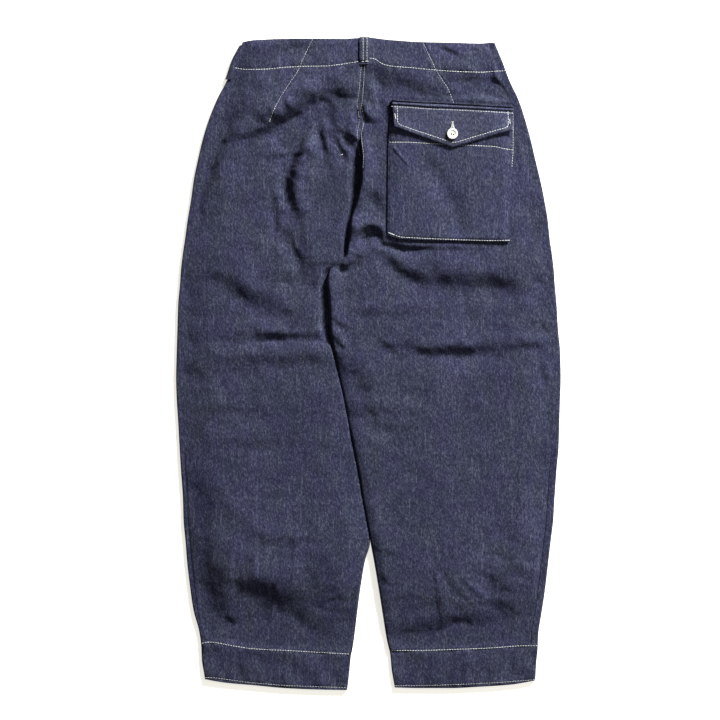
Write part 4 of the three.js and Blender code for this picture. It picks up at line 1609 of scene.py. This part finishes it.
class OutlineMap:
    """Places inside an outline with four curved sides."""

    def __init__(self, outline: Outline) -> None:
        """Builds the four sides.

        Args:
            outline: The sides' tables.
        """
        self.top, self.bottom, self.left, self.right = (SmoothCurve(side) for side in outline)

    def place(self, across: Array, down: Array) -> tuple[Array, Array]:
        """The point at a share across and a share down.

        Args:
            across: Shares from the left side to the right.
            down: Shares from the top to the bottom.

        Returns:
            The points' x and y.
        """
        y = np.full(np.broadcast(across, down).shape, 300.0)
        x = self.left(y) + (self.right(y) - self.left(y)) * across
        for _ in range(4):
            y = self.top(x) + (self.bottom(x) - self.top(x)) * down
            x = self.left(y) + (self.right(y) - self.left(y)) * across
        return x, y


@dataclass
class FlapPocket:
    """The patch pocket on the right back: its gusset, its face and its flap."""

    finishes: Finishes
    lay: float = LAY_GAP
    face_size: Point = (181.0, 180.0)
    flap_size: Point = (178.0, 50.0)
    gusset_width: float = 13.0
    gusset_inset: float = 1.0
    gusset_steps: int = 40
    flap_lift: float = 0.4
    left_corner_lift: float = 2.4
    left_corner_reach: float = 50.0
    right_corner_lift: float = 3.1
    right_corner_reach: float = 46.0
    flap_roll: float = 1.4
    strip_start: float = 3.4
    strip_rise: float = 1.3
    strip_slope: float = 0.42

    def __post_init__(self) -> None:
        """Builds the outlines of the pocket and the flap."""
        self.pocket = OutlineMap(POCKET)
        self.flap = OutlineMap(FLAP)
        self.crease = bent_line((35, 320), (47, 305), (62, 288))
        self.hollow = bent_line((54, 300), (104, 268), (126, 206))
        self.flap_stitch = Polyline(FLAP_STITCH)
        self.seam_stitch = Polyline(FLAP_SEAM_STITCH)
        self.seam_level = SmoothCurve(FLAP_SEAM_STITCH)
        self.mouth_level = SmoothCurve(MOUTH_STITCH)

    def base(self, x: Array, y: Array) -> Array:
        """Height of the back's cloth under the pocket."""
        return FORM.back_top(Side.RIGHT, x, y, detail=False) + self.lay

    def face_top(self, x: Array, y: Array, detail: bool = True) -> Array:
        """Height of the pocket's face.

        Args:
            x: Places across.
            y: Places along.
            detail: Whether its edges, stitching and creases are in it.

        Returns:
            The height at each place.
        """
        height = self.base(x, y) + GUSSET_THICKNESS + FACE_GAP + FACE_CLOTH
        if not detail:
            return height
        from_left = x - self.pocket.left(y)
        from_right = self.pocket.right(y) - x
        from_bottom = y - self.pocket.bottom(x)
        left_drop = 1.6 * (1 - smooth(from_left / 16.0)) + 0.9 * (1 - smooth(from_left / 4.0))
        right_drop = 2.2 * (1 - smooth(from_right / 14.0))
        bottom_drop = 1.3 * (1 - smooth(from_bottom / 4.5))
        height = height - np.maximum(np.maximum(left_drop, right_drop), bottom_drop)
        height = height - 0.4 * bell(from_bottom - 2.6, 1.4)
        distance, along, _, _ = self.crease.nearest(x, y)
        held = smooth(along / 4) * smooth((self.crease.length - along) / 12)
        height = height + 1.3 * bell(distance, 1.8) * held
        mouth = y - self.mouth_level(x)
        height = height - 0.35 * bell(mouth, 1.6) + 0.3 * smooth(mouth / 3)
        sag = 0.55 * FORM.waves(x / 55 + 9, y / 60 + 1) + 0.3 * FORM.crumple(x / 21 + 3, y / 26)
        distance, along, _, _ = self.hollow.nearest(x, y)
        uneven = 1 + 0.35 * FORM.waves(x / 19, y / 17)
        sag = sag - 3.0 * uneven * bell(distance, 20) * smooth(along / 30)
        return height + sag * smooth(from_left / 10) * smooth(from_right / 10) * smooth(from_bottom / 10)

    def make_face(self) -> bpy.types.Object:
        """The pocket's face.

        Returns:
            The piece.
        """
        width, length = self.face_size
        across = spaced(width, EDGE_STEPS, EDGE_STEPS, 1.9)[None, :] / width
        down = spaced(length, MOUTH_STEPS, EDGE_STEPS, 1.9)[:, None] / length
        x, y = self.pocket.place(across, down)
        outer = np.stack((x, y, self.face_top(x, y)), axis=2)
        inner = outer.copy()
        over_gusset = np.minimum(self.base(x, y) + 1.4, outer[:, :, 2] - 0.7)
        inner[:, :, 2] = np.maximum(outer[:, :, 2] - FACE_CLOTH, over_gusset)
        piece = closed_shell("pocket_face_cloth", outer, inner)
        return dress(piece, self.finishes.pocket_denim_painted_light, ["pocket_face"])

    def make_gusset(self) -> bpy.types.Object:
        """The folded bellows strip under the sides and the bottom of the face.

        Returns:
            The piece.
        """
        width = self.gusset_width
        down_side = np.linspace(0, 1, self.gusset_steps, endpoint=False)
        stops = [(0.0, float(t), 1.0, 0.0) for t in down_side]
        for t in np.linspace(0, 1, self.gusset_steps + 1):
            stops.append((float(t), 1.0, 1.0 if t == 0 else -1.0 if t == 1 else 0.0, 1.0))
        stops += [(1.0, float(t), -1.0, 0.0) for t in down_side[::-1]]
        profile = ((0.0, 0.0), (-0.35, 0.35), (-0.35, 0.65), (0.0, 1.0), (width * 0.5, 1.0), (width, 1.0))
        rows_out = []
        rows_in = []
        for across, down, in_x, in_y in stops:
            x0, y0 = self.pocket.place(np.array(across), np.array(down))
            row = []
            low_row = []
            for reach, share in profile:
                x = float(x0) + in_x * (self.gusset_inset + reach)
                y = float(y0) + in_y * (self.gusset_inset + reach)
                ground = float(self.base(np.array(x), np.array(y)))
                row.append((x, y, ground + 0.1 + (0.8 if in_y == 0 else 1.2) * share))
                low_row.append((x + in_x * 0.8, y + in_y * 0.8, ground + 0.02))
            rows_out.append(row)
            rows_in.append(low_row)
        outer = np.array(rows_out)
        piece = closed_shell("pocket_gusset_cloth", outer, np.array(rows_in), coarse=1)
        return dress(piece, self.finishes.pocket_denim_painted_light, ["pocket_gusset"])

    def flap_bottom(self, x: Array, y: Array) -> Array:
        """Height of the flap's under side, which clears the face and lifts towards its two corners.

        Args:
            x: Places across.
            y: Places along.

        Returns:
            The height at each place.
        """
        ground = self.base(x, y)
        highest = np.maximum(self.face_top(x, y, detail=False), self.face_top(x, y))
        rise = highest + LAY_GAP - ground
        from_seam = self.flap.top(x) - y
        from_rim = y - self.flap.bottom(x)
        from_left = x - self.flap.left(y)
        from_right = self.flap.right(y) - x
        lift = self.flap_lift + self.left_corner_lift * (1 - smooth(from_left / self.left_corner_reach))
        lift = lift + self.right_corner_lift * (1 - smooth(from_right / self.right_corner_reach))
        lift = lift * (1 - smooth(from_rim / 22)) * smooth(from_seam / 14)
        return ground + rise * smooth(from_seam / FLAP_RISE_LENGTH) + lift

    def flap_top(self, x: Array, y: Array) -> Array:
        """Height of the flap's upper face.

        It is rounded at its rim and pulled in at its stitching. Above the seam that joins it to the
        back, its folded edge stands up as a strip between two grooves.

        Args:
            x: Places across.
            y: Places along.

        Returns:
            The height at each place.
        """
        from_rim = np.minimum(
            np.minimum(x - self.flap.left(y), self.flap.right(y) - x), (y - self.flap.bottom(x)) * 0.94
        )
        distance, along, _, _ = self.flap_stitch.nearest(x, y)
        groove = 0.45 * bell(distance, 1.5)
        swell = 0.35 * smooth(from_rim / 3) * (1 - smooth((from_rim - 5) / 3))
        pucker = 0.16 * FORM.puckers(along / 7, distance / 10) * bell(distance, 6)
        seam, _, _, _ = self.seam_stitch.nearest(x, y)
        above = y - self.seam_level(x)
        from_top = self.flap.top(x) - y
        up_strip = above - self.strip_start
        strip = (self.strip_rise + self.strip_slope * np.clip(up_strip, 0, 6)) * smooth(up_strip / 0.9)
        lip = 1.0 * (1 - smooth((from_top - 1.2) / 0.6)) - 1.6 * bell(from_top - 2.6, 0.9)
        seam_groove = 0.4 * bell(seam, 1.4) + 1.7 * bell(above - 2.3, 1.2)
        waves = 0.25 * FORM.waves(x / 33 + 1, y / 30) * smooth(from_rim / 6)
        plain = self.flap_bottom(x, y) + FLAP_CLOTH - rim_drop(from_rim, self.flap_roll)
        return plain - groove + swell + pucker - seam_groove + strip + lip + waves

    def make_flap(self) -> bpy.types.Object:
        """The flap.

        Returns:
            The piece.
        """
        width, length = self.flap_size
        strip_steps = tuple(np.arange(0, 9.5, 0.6))
        across = spaced(width, EDGE_STEPS, EDGE_STEPS, 1.8)[None, :] / width
        down = spaced(length, strip_steps, FLAP_RIM_STEPS, 1.3)[:, None] / length
        x, y = self.flap.place(across, down)
        outer = np.stack((x, y, self.flap_top(x, y)), axis=2)
        inner = np.stack((x, y, self.flap_bottom(x, y)), axis=2)
        piece = closed_shell("pocket_flap_cloth", outer, inner, coarse=1)
        return dress(piece, self.finishes.flap_denim_painted_light, ["pocket_flap"])


@dataclass
class FlapButton:
    """The flap's button: a turned disc with a raised rim, a sunken eye and two thread holes."""

    finishes: Finishes
    pocket: FlapPocket
    thickness: float = 2.8
    clearance: float = 0.15
    rim_width: float = 2.6
    eye_wall: Point = (1.0, 0.55)
    eye_dish: Point = (1.4, 0.15)
    rim_bevel: float = 0.9
    hole_radius: float = 1.2
    hole_offset: Point = (1.6, 0.5)
    holes_lower: float = 0.9

    def select_top(self, button: bpy.types.Object) -> None:
        """Selects the disc's upper face and leaves the disc in edit mode.

        Args:
            button: The disc.
        """
        bpy.ops.object.mode_set(mode="EDIT")
        bpy.ops.mesh.select_mode(type="FACE")
        bpy.ops.mesh.select_all(action="DESELECT")
        bpy.ops.object.mode_set(mode="OBJECT")
        for face in button.data.polygons:
            face.select = face.normal.z > 0.9
        bpy.ops.object.mode_set(mode="EDIT")

    def drill_hole(self, button: bpy.types.Object, centre: Array, hole_side: int) -> None:
        """Drills one thread hole.

        Args:
            button: The disc, which is then the one selected object.
            centre: The disc's middle in metres.
            hole_side: -1 for the left hole and 1 for the right one.
        """
        across, along = self.hole_offset
        bpy.ops.mesh.primitive_cylinder_add(
            vertices=16, radius=self.hole_radius * MM, depth=6 * MM,
            location=(
                centre[0] + hole_side * across * MM,
                centre[1] - (self.holes_lower + hole_side * along) * MM,
                centre[2],
            ),
        )
        drill = bpy.context.object
        cut = button.modifiers.new("thread_hole", "BOOLEAN")
        cut.operation = "DIFFERENCE"
        cut.object = drill
        bpy.ops.object.select_all(action="DESELECT")
        bpy.context.view_layer.objects.active = button
        button.select_set(True)
        bpy.ops.object.modifier_apply(modifier=cut.name)
        bpy.data.objects.remove(drill)

    def make(self) -> bpy.types.Object:
        """Turns the button and lays it on the flap.

        Returns:
            The piece.
        """
        x, y = FLAP_BUTTON
        around = np.linspace(0, 2 * math.pi, 24)
        ring = self.pocket.flap_top(x + BUTTON_RADIUS * np.cos(around), y + BUTTON_RADIUS * np.sin(around))
        middle = float(ring.max()) + self.clearance + self.thickness / 2
        centre = in_metres(np.array([[x, y, middle]]))[0]
        bpy.ops.object.select_all(action="DESELECT")
        bpy.ops.mesh.primitive_cylinder_add(
            vertices=48, radius=BUTTON_RADIUS * MM, depth=self.thickness * MM, location=tuple(centre)
        )
        button = bpy.context.object
        button.name = "flap_button_turned"
        bpy.ops.object.transform_apply(location=True, rotation=True, scale=True)
        self.select_top(button)
        bpy.ops.mesh.inset(thickness=self.rim_width * MM)
        for width, depth in (self.eye_wall, self.eye_dish):
            bpy.ops.mesh.inset(thickness=width * MM, depth=-depth * MM)
        bpy.ops.object.mode_set(mode="OBJECT")
        bevel = button.modifiers.new("soft_rim", "BEVEL")
        bevel.width = self.rim_bevel * MM
        bevel.segments = 4
        bevel.limit_method = "ANGLE"
        bevel.angle_limit = math.radians(25)
        bpy.ops.object.modifier_apply(modifier=bevel.name)
        for hole_side in (-1, 1):
            self.drill_hole(button, centre, hole_side)
        bpy.ops.object.shade_smooth_by_angle(angle=math.radians(35))
        button.select_set(False)
        return dress(button, self.finishes.button, ["flap_button"])


FLAP_STITCH = ((42.5, 383), (42.5, 351.5), (60, 345), (125, 323.5), (190, 343), (205, 346.5), (205, 372))
FLAP_SEAM_STITCH = ((33, 377.2), (62, 375.4), (92, 373.2), (125, 371.9), (165, 370), (213, 367.6))
MOUTH_STITCH = ((30, 325), (60, 324.8), (95, 322.7), (143, 320.5), (186, 318.5), (200, 315), (213, 314))
POCKET_BOTTOM_STITCH = ((28.8, 192.5), (46, 185.7), (81, 183.8), (130, 181.8), (176, 180.5), (207, 180.8))
POCKET_RIGHT_STITCH = ((212.6, 372), (212.4, 313), (210.5, 288))
LEFT_CUFF_STITCH = (
    (-245, -411.3), (-236.5, -409), (-221, -410.6), (-201, -414.7), (-175.6, -418.7), (-149, -420.6),
    (-108, -422.3), (-74, -424.5), (-28, -427),
)
LEFT_HEM_STITCH = (
    (-240.5, -461.3), (-226, -461.8), (-206, -464.6), (-175.6, -468.8), (-125, -473), (-74, -475),
    (-33, -476.5),
)
RIGHT_CUFF_STITCH = (
    (33, -421.8), (81.7, -421.7), (137.5, -419.8), (175, -418.4), (222, -414.8), (249, -414.8),
)
RIGHT_HEM_STITCH = ((38.5, -473.5), (100, -472.7), (156, -470.6), (194, -468.6), (245, -464.6))


@dataclass
class BeltLoops:
    """The belt loop on the centre back seam and the one round the left side edge."""

    finishes: Finishes
    width: float = 15.0
    length: float = 40.0
    thickness: float = 2.2
    centre: float = -6.0
    top: float = 480.0
    arch: float = 1.8
    rim_radius: float = 1.3
    ridge: float = 0.35
    tuck: float = 0.9
    side_top: float = 468.0
    side_length: float = 50.0
    side_reach: float = 5.0
    side_turn: float = 0.62 * math.pi
    side_steps: int = 12

    def loop_top(self, x: Array, y: Array) -> Array:
        """Height of the centre back loop's upper face.

        Args:
            x: Places across.
            y: Places along.

        Returns:
            The height at each place.
        """
        t = (self.top - y) / self.length
        arch = self.arch * smooth(t / 0.25) * smooth((1 - t) / 0.25)
        ground = np.maximum(
            FORM.back_top(Side.LEFT, np.full(y.shape, self.centre - 8.0), y, detail=False),
            FORM.back_top(Side.RIGHT, np.full(y.shape, self.centre + 8.0), y, detail=False),
        )
        from_edge = self.width / 2 - np.abs(x - self.centre)
        rounded = rim_drop(from_edge, self.rim_radius)
        ridges = self.ridge * np.cos((x - self.centre) / self.width * 4 * math.pi)
        tucked = self.tuck * bell(t - 0.94, 0.05)
        return ground + LAY_GAP + arch + self.thickness - rounded - ridges * smooth(from_edge / 2) - tucked

    def make_back_loop(self) -> bpy.types.Object:
        """The loop on the centre back seam.

        Returns:
            The piece.
        """
        across = spaced(self.width, LOOP_SIDE_STEPS, LOOP_SIDE_STEPS, 0.9)[None, :]
        down = spaced(self.length, LOOP_END_STEPS, LOOP_END_STEPS, 1.2)[:, None]
        x = self.centre - self.width / 2 + across + 0 * down
        y = self.top - down + 0 * across
        z = self.loop_top(x, y)
        outer = np.stack((x, y, z), axis=2)
        inner = outer.copy()
        inner[:, :, 2] = self.loop_top(np.full(x.shape, self.centre), y) - self.thickness - 0.3
        piece = closed_shell("centre_back_loop_cloth", outer, inner, coarse=1)
        return dress(piece, self.finishes.denim, ["centre_back_loop"])

    def make_side_loop(self) -> bpy.types.Object:
        """The loop that lies folded round the left side edge.

        Returns:
            The piece.
        """
        places = self.side_top - spaced(self.side_length, LOOP_END_STEPS, LOOP_END_STEPS, 1.6)
        layers = []
        for radius in (EDGE_RADIUS + self.thickness, EDGE_RADIUS + 0.3):
            rows = []
            for y in places:
                middle = float(FORM.outer[Side.LEFT](y)) + EDGE_RADIUS
                row = [
                    (middle + self.side_reach * share, y, EDGE_RADIUS + radius) for share in (1.0, 0.6, 0.2)
                ]
                for k in range(self.side_steps + 1):
                    angle = math.pi / 2 + self.side_turn * k / self.side_steps
                    height = EDGE_RADIUS + radius * math.sin(angle)
                    row.append((middle + radius * math.cos(angle), y, height))
                rows.append(row)
            layers.append(np.array(rows))
        piece = closed_shell("left_side_loop_cloth", layers[0], layers[1], coarse=1)
        return dress(piece, self.finishes.denim, ["left_side_loop"])


@dataclass
class Sewing:
    """Every line of stitching, made as single stitches of thread that lie on the cloth."""

    finishes: Finishes
    stitch_length: float = 3.2
    pitch: float = 3.8
    thread_width: float = 1.1
    thread_height: float = 0.6
    raised_share: float = 0.30
    end_roundness: float = 0.7
    tack_pitch: float = 0.55
    tack_slant: float = 0.25
    tack_lift: float = 0.35
    tack_thread: Point = (0.75, 0.8)

    def __post_init__(self) -> None:
        """Models one stitch, which every other is a copy of."""
        bpy.ops.object.select_all(action="DESELECT")
        bpy.ops.mesh.primitive_uv_sphere_add(segments=6, ring_count=4, radius=0.5, location=(0, 0, 0))
        template = bpy.context.object
        bpy.ops.object.mode_set(mode="EDIT")
        bpy.ops.mesh.select_all(action="SELECT")
        bpy.ops.transform.rotate(
            value=math.pi / 2, orient_axis="Y", orient_type="GLOBAL", center_override=(0, 0, 0)
        )
        bpy.ops.object.mode_set(mode="OBJECT")
        self.shape = np.array([tuple(v.co) for v in template.data.vertices])
        self.faces = [tuple(p.vertices) for p in template.data.polygons]
        bpy.data.objects.remove(template)

    def lay_stitches(
        self, name: str, starts: Array, ends: Array, width: float, height: float,
    ) -> bpy.types.Object:
        """One mesh of stitches, each from its start to its end.

        Args:
            name: The piece's name.
            starts: The stitches' first points, in millimetres.
            ends: Their last points.
            width: The thread's width.
            height: The thread's height.

        Returns:
            The piece.
        """
        along = ends - starts
        length = np.linalg.norm(along, axis=1, keepdims=True)
        forward = along / length
        up = np.tile((0.0, 0.0, 1.0), (len(starts), 1))
        sideways = np.cross(up, forward)
        sideways /= np.linalg.norm(sideways, axis=1, keepdims=True)
        upward = np.cross(forward, sideways)
        middle = (starts + ends) / 2
        vertices = []
        faces = []
        blunt = self.shape.copy()
        blunt[:, 0] = np.sign(blunt[:, 0]) * np.abs(blunt[:, 0] * 2) ** self.end_roundness / 2
        for i in range(len(starts)):
            base = len(vertices)
            points = (
                middle[i]
                + blunt[:, :1] * length[i] * forward[i]
                + blunt[:, 1:2] * width * sideways[i]
                + blunt[:, 2:3] * height * upward[i]
            )
            vertices.extend(map(tuple, points))
            faces.extend(tuple(base + v for v in face) for face in self.faces)
        piece = new_object(name, in_metres(np.array(vertices)), faces)
        return dress(piece, self.finishes.thread)

    def run(self, name: str, points: Sequence[Point], height: Height, width: float) -> bpy.types.Object:
        """A line of lockstitch along a line on the cloth, with its corners eased.

        Args:
            name: The piece's name.
            points: The line in the plane.
            height: The cloth's height there.
            width: The thread's width.

        Returns:
            The piece.
        """
        line = Polyline(points)
        fine = np.linspace(0, line.length, max(int(line.length / 2), 2))
        px, py = line.at(fine)
        kernel = np.ones(5) / 5
        if len(px) > 8:
            px[2:-2] = np.convolve(px, kernel, mode="valid")
            py[2:-2] = np.convolve(py, kernel, mode="valid")
        line = Polyline(np.stack((px, py), axis=1))
        count = max(int(line.length / self.pitch), 1)
        first = np.arange(count) * line.length / count
        x0, y0 = line.at(first)
        x1, y1 = line.at(first + self.stitch_length * line.length / (count * self.pitch))
        lift = self.thread_height * self.raised_share
        starts = np.stack((x0, y0, height(x0, y0) + lift), axis=1)
        ends = np.stack((x1, y1, height(x1, y1) + lift), axis=1)
        return self.lay_stitches(name, starts, ends, width, self.thread_height)

    def bar_tack(
        self, name: str, start: Point, end: Point, height: Height, width: float,
    ) -> bpy.types.Object:
        """A bar of close stitches laid across a short line.

        Args:
            name: The piece's name.
            start: One end of the bar.
            end: Its other end.
            height: The cloth's height there.
            width: The bar's width.

        Returns:
            The piece.
        """
        line = Polyline((start, end))
        count = max(int(line.length / self.tack_pitch), 3)
        x, y = line.at(np.linspace(0, line.length, count))
        direction = (line.points[1] - line.points[0]) / line.length
        across = np.array((-direction[1], direction[0])) * width / 2
        slant = direction * self.tack_slant
        z = height(x, y) + self.tack_lift
        starts = np.stack((x - across[0] - slant[0], y - across[1] - slant[1], z), axis=1)
        ends = np.stack((x + across[0] + slant[0], y + across[1] + slant[1], z), axis=1)
        return self.lay_stitches(name, starts, ends, *self.tack_thread)


def back_height(side: Side) -> Height:
    """The height function of one back."""
    return lambda x, y: FORM.back_top(side, x, y)


def cuff_height(leg: LegSide) -> Height:
    """The height function of one cuff's upper face.

    Args:
        leg: The side of the trousers.

    Returns:
        The function of x and y.
    """

    def height(x: Array, y: Array) -> Array:
        """The cuff's height at each place.

        Args:
            x: Places across.
            y: Places along.

        Returns:
            The height there.
        """
        top = FORM.cuff[leg.side](x)
        bottom = FORM.hem[leg.side](x)
        share = np.clip((y - top) / (bottom - top), 0, 1)
        return EDGE_HEIGHT + leg.cuff_lift(x, share)

    return height


def sew_all(sewing: Sewing, legs: dict[Side, LegSide], pocket: FlapPocket, loops: BeltLoops) -> None:
    """Sews every line that shows.

    Args:
        sewing: Makes the stitches.
        legs: The two sides of the trousers.
        pocket: The pocket.
        loops: The belt loops.
    """
    left, right = back_height(Side.LEFT), back_height(Side.RIGHT)
    left_cuff, right_cuff = cuff_height(legs[Side.LEFT]), cuff_height(legs[Side.RIGHT])
    face, flap, loop = pocket.face_top, pocket.flap_top, loops.loop_top
    usual = sewing.thread_width
    for name, line, height, width in (
        ("waist_stitch_left", WAIST_STITCH_LEFT, left, usual),
        ("waist_stitch_right", WAIST_STITCH_RIGHT, right, usual),
        ("dart_stitch_left", DART_LEFT, left, 0.6),
        ("dart_stitch_right", DART_RIGHT, right, 0.6),
        ("centre_stitch_left", CENTRE_SEAM_LEFT, left, 0.5),
        ("centre_stitch_right", CENTRE_SEAM_RIGHT, right, 0.5),
        ("cuff_stitch_left", LEFT_CUFF_STITCH, left_cuff, usual),
        ("hem_stitch_left", LEFT_HEM_STITCH, left_cuff, 0.6),
        ("cuff_stitch_right", RIGHT_CUFF_STITCH, right_cuff, usual),
        ("hem_stitch_right", RIGHT_HEM_STITCH, right_cuff, 0.6),
        ("pocket_mouth_stitch", MOUTH_STITCH, face, usual),
        ("pocket_bottom_stitch", POCKET_BOTTOM_STITCH, face, 1.0),
        ("pocket_edge_stitch", POCKET_RIGHT_STITCH, face, 0.8),
        ("flap_stitch", FLAP_STITCH, flap, usual),
        ("flap_seam_stitch", FLAP_SEAM_STITCH, flap, 0.9),
    ):
        sewing.run(name, line, height, width)
    for name, start, end, height, width in (
        ("flap_tack_left", (38.4, 366.5), (39.8, 359), flap, 1.9),
        ("flap_tack_right", (207.0, 359), (207.6, 352), flap, 1.9),
        ("dart_tack", (-144, 359), (-145.5, 355), left, 1.6),
        ("thread_end", (-40.6, 306.4), (-38.0, 307.6), left, 1.2),
        ("pocket_tack_left", (29.5, 192.2), (36.5, 189.2), face, 1.7),
        ("pocket_tack_right", (200, 180.8), (207, 181), face, 1.7),
    ):
        sewing.bar_tack(name, start, end, height, width)
    for number, offset in enumerate((-1.8, 3.8)):
        x = loops.centre + offset
        sewing.run(f"loop_stitch_{number}", ((x, 479), (x, 445)), loop, 0.7)
    for name, start, end, height, width in (
        ("loop_tack_left", (-9.6, 443.3), (-6.9, 443.3), loop, 1.6),
        ("loop_tack_right", (-4.2, 443.8), (-0.6, 443.8), loop, 1.6),
        ("buttonhole_left", (123.2, 352.2), (120.8, 343.0), flap, 2.5),
        ("buttonhole_right", (123.2, 352.2), (125.6, 343.0), flap, 2.5),
        ("buttonhole_end", (123.2, 354.8), (123.2, 351.2), flap, 3.4),
    ):
        sewing.bar_tack(name, start, end, height, width)


class Lamp(NamedTuple):
    """A square soft light that faces the garment: its place and size in metres, and its power."""

    name: str
    place: tuple[float, float, float]
    size: float
    power: float


@dataclass
class Studio:
    """The pale floor that glows a little, the light from beyond the waist and the camera above."""

    pixel: float = 1.47
    frame_pixels: float = 720.0
    middle_pixel: Point = (368.45, 363.7)
    lens: float = 150.0
    middle_height: float = 5.0
    sensor: float = 36.0
    lamps: tuple[Lamp, ...] = (
        Lamp("key", (2.6, 4.0, 2.0), 0.95, 775.0),
        Lamp("fill", (1.9, -0.2, 1.3), 1.4, 11.0),
    )
    surround: float = 0.09
    table_size: float = 8.0
    table_drop: float = 0.0004
    table_glow: float = 0.72

    def make_floor(self) -> None:
        """The floor that the garment lies on."""
        bpy.ops.object.select_all(action="DESELECT")
        bpy.ops.mesh.primitive_plane_add(size=self.table_size, location=(0, 0, -self.table_drop))
        floor = bpy.context.object
        floor.name = "floor"
        material, tree, shader = new_material("white_light_table")
        cloud_base(tree, shader, 25.0, 2.0, ((0.0, "f6f2e8"), (1.0, "fdf9f0")))
        shader.inputs["Roughness"].default_value = 0.9
        shader.inputs["Emission Color"].default_value = srgb("fffdf4")
        shader.inputs["Emission Strength"].default_value = self.table_glow
        floor.data.materials.append(material)

    def make_camera(self) -> None:
        """A long lens straight above, framed as the photograph is."""
        half = self.frame_pixels / 2
        x = (half - self.middle_pixel[0]) * self.pixel + SHIFT[0]
        y = (self.middle_pixel[1] - half) * self.pixel + SHIFT[1]
        distance = self.frame_pixels * self.pixel * self.lens / self.sensor
        data = bpy.data.cameras.new("camera")
        data.lens = self.lens
        data.sensor_width = self.sensor
        camera = bpy.data.objects.new("camera", data)
        camera.location = (x * MM, y * MM, (distance + self.middle_height) * MM)
        bpy.context.collection.objects.link(camera)
        bpy.context.scene.camera = camera

    def make_lights(self) -> None:
        """A low key from beyond the waist that brings out the folds, a weak fill and a faint surround."""
        for lamp in self.lamps:
            data = bpy.data.lights.new(lamp.name, "AREA")
            data.energy = lamp.power
            data.size = lamp.size
            light = bpy.data.objects.new(lamp.name, data)
            light.location = lamp.place
            light.rotation_mode = "QUATERNION"
            light.rotation_quaternion = Vector(-np.array(lamp.place)).to_track_quat("-Z", "Y")
            bpy.context.collection.objects.link(light)
        world = bpy.data.worlds.new("surround")
        world.use_nodes = True
        background = world.node_tree.nodes["Background"]
        background.inputs["Color"].default_value = srgb("ffffff")
        background.inputs["Strength"].default_value = self.surround
        bpy.context.scene.world = world
        bpy.context.scene.view_settings.view_transform = "Standard"

    def build(self) -> None:
        """Makes the floor, the camera and the lights."""
        self.make_floor()
        self.make_camera()
        self.make_lights()


def main() -> None:
    """Builds the garment piece by piece, then the studio."""
    logging.basicConfig(level=logging.INFO, format="%(name)s: %(message)s")
    finishes = Finishes()
    legs = {side: LegSide(side, finishes) for side in Side}
    for leg in legs.values():
        leg.make_back()
        leg.make_front()
        leg.make_cuff()
    pocket = FlapPocket(finishes)
    pocket.make_gusset()
    pocket.make_face()
    pocket.make_flap()
    FlapButton(finishes, pocket).make()
    loops = BeltLoops(finishes)
    loops.make_back_loop()
    loops.make_side_loop()
    sew_all(Sewing(finishes), legs, pocket, loops)
    Studio().build()


if __name__ == "__main__":
    main()
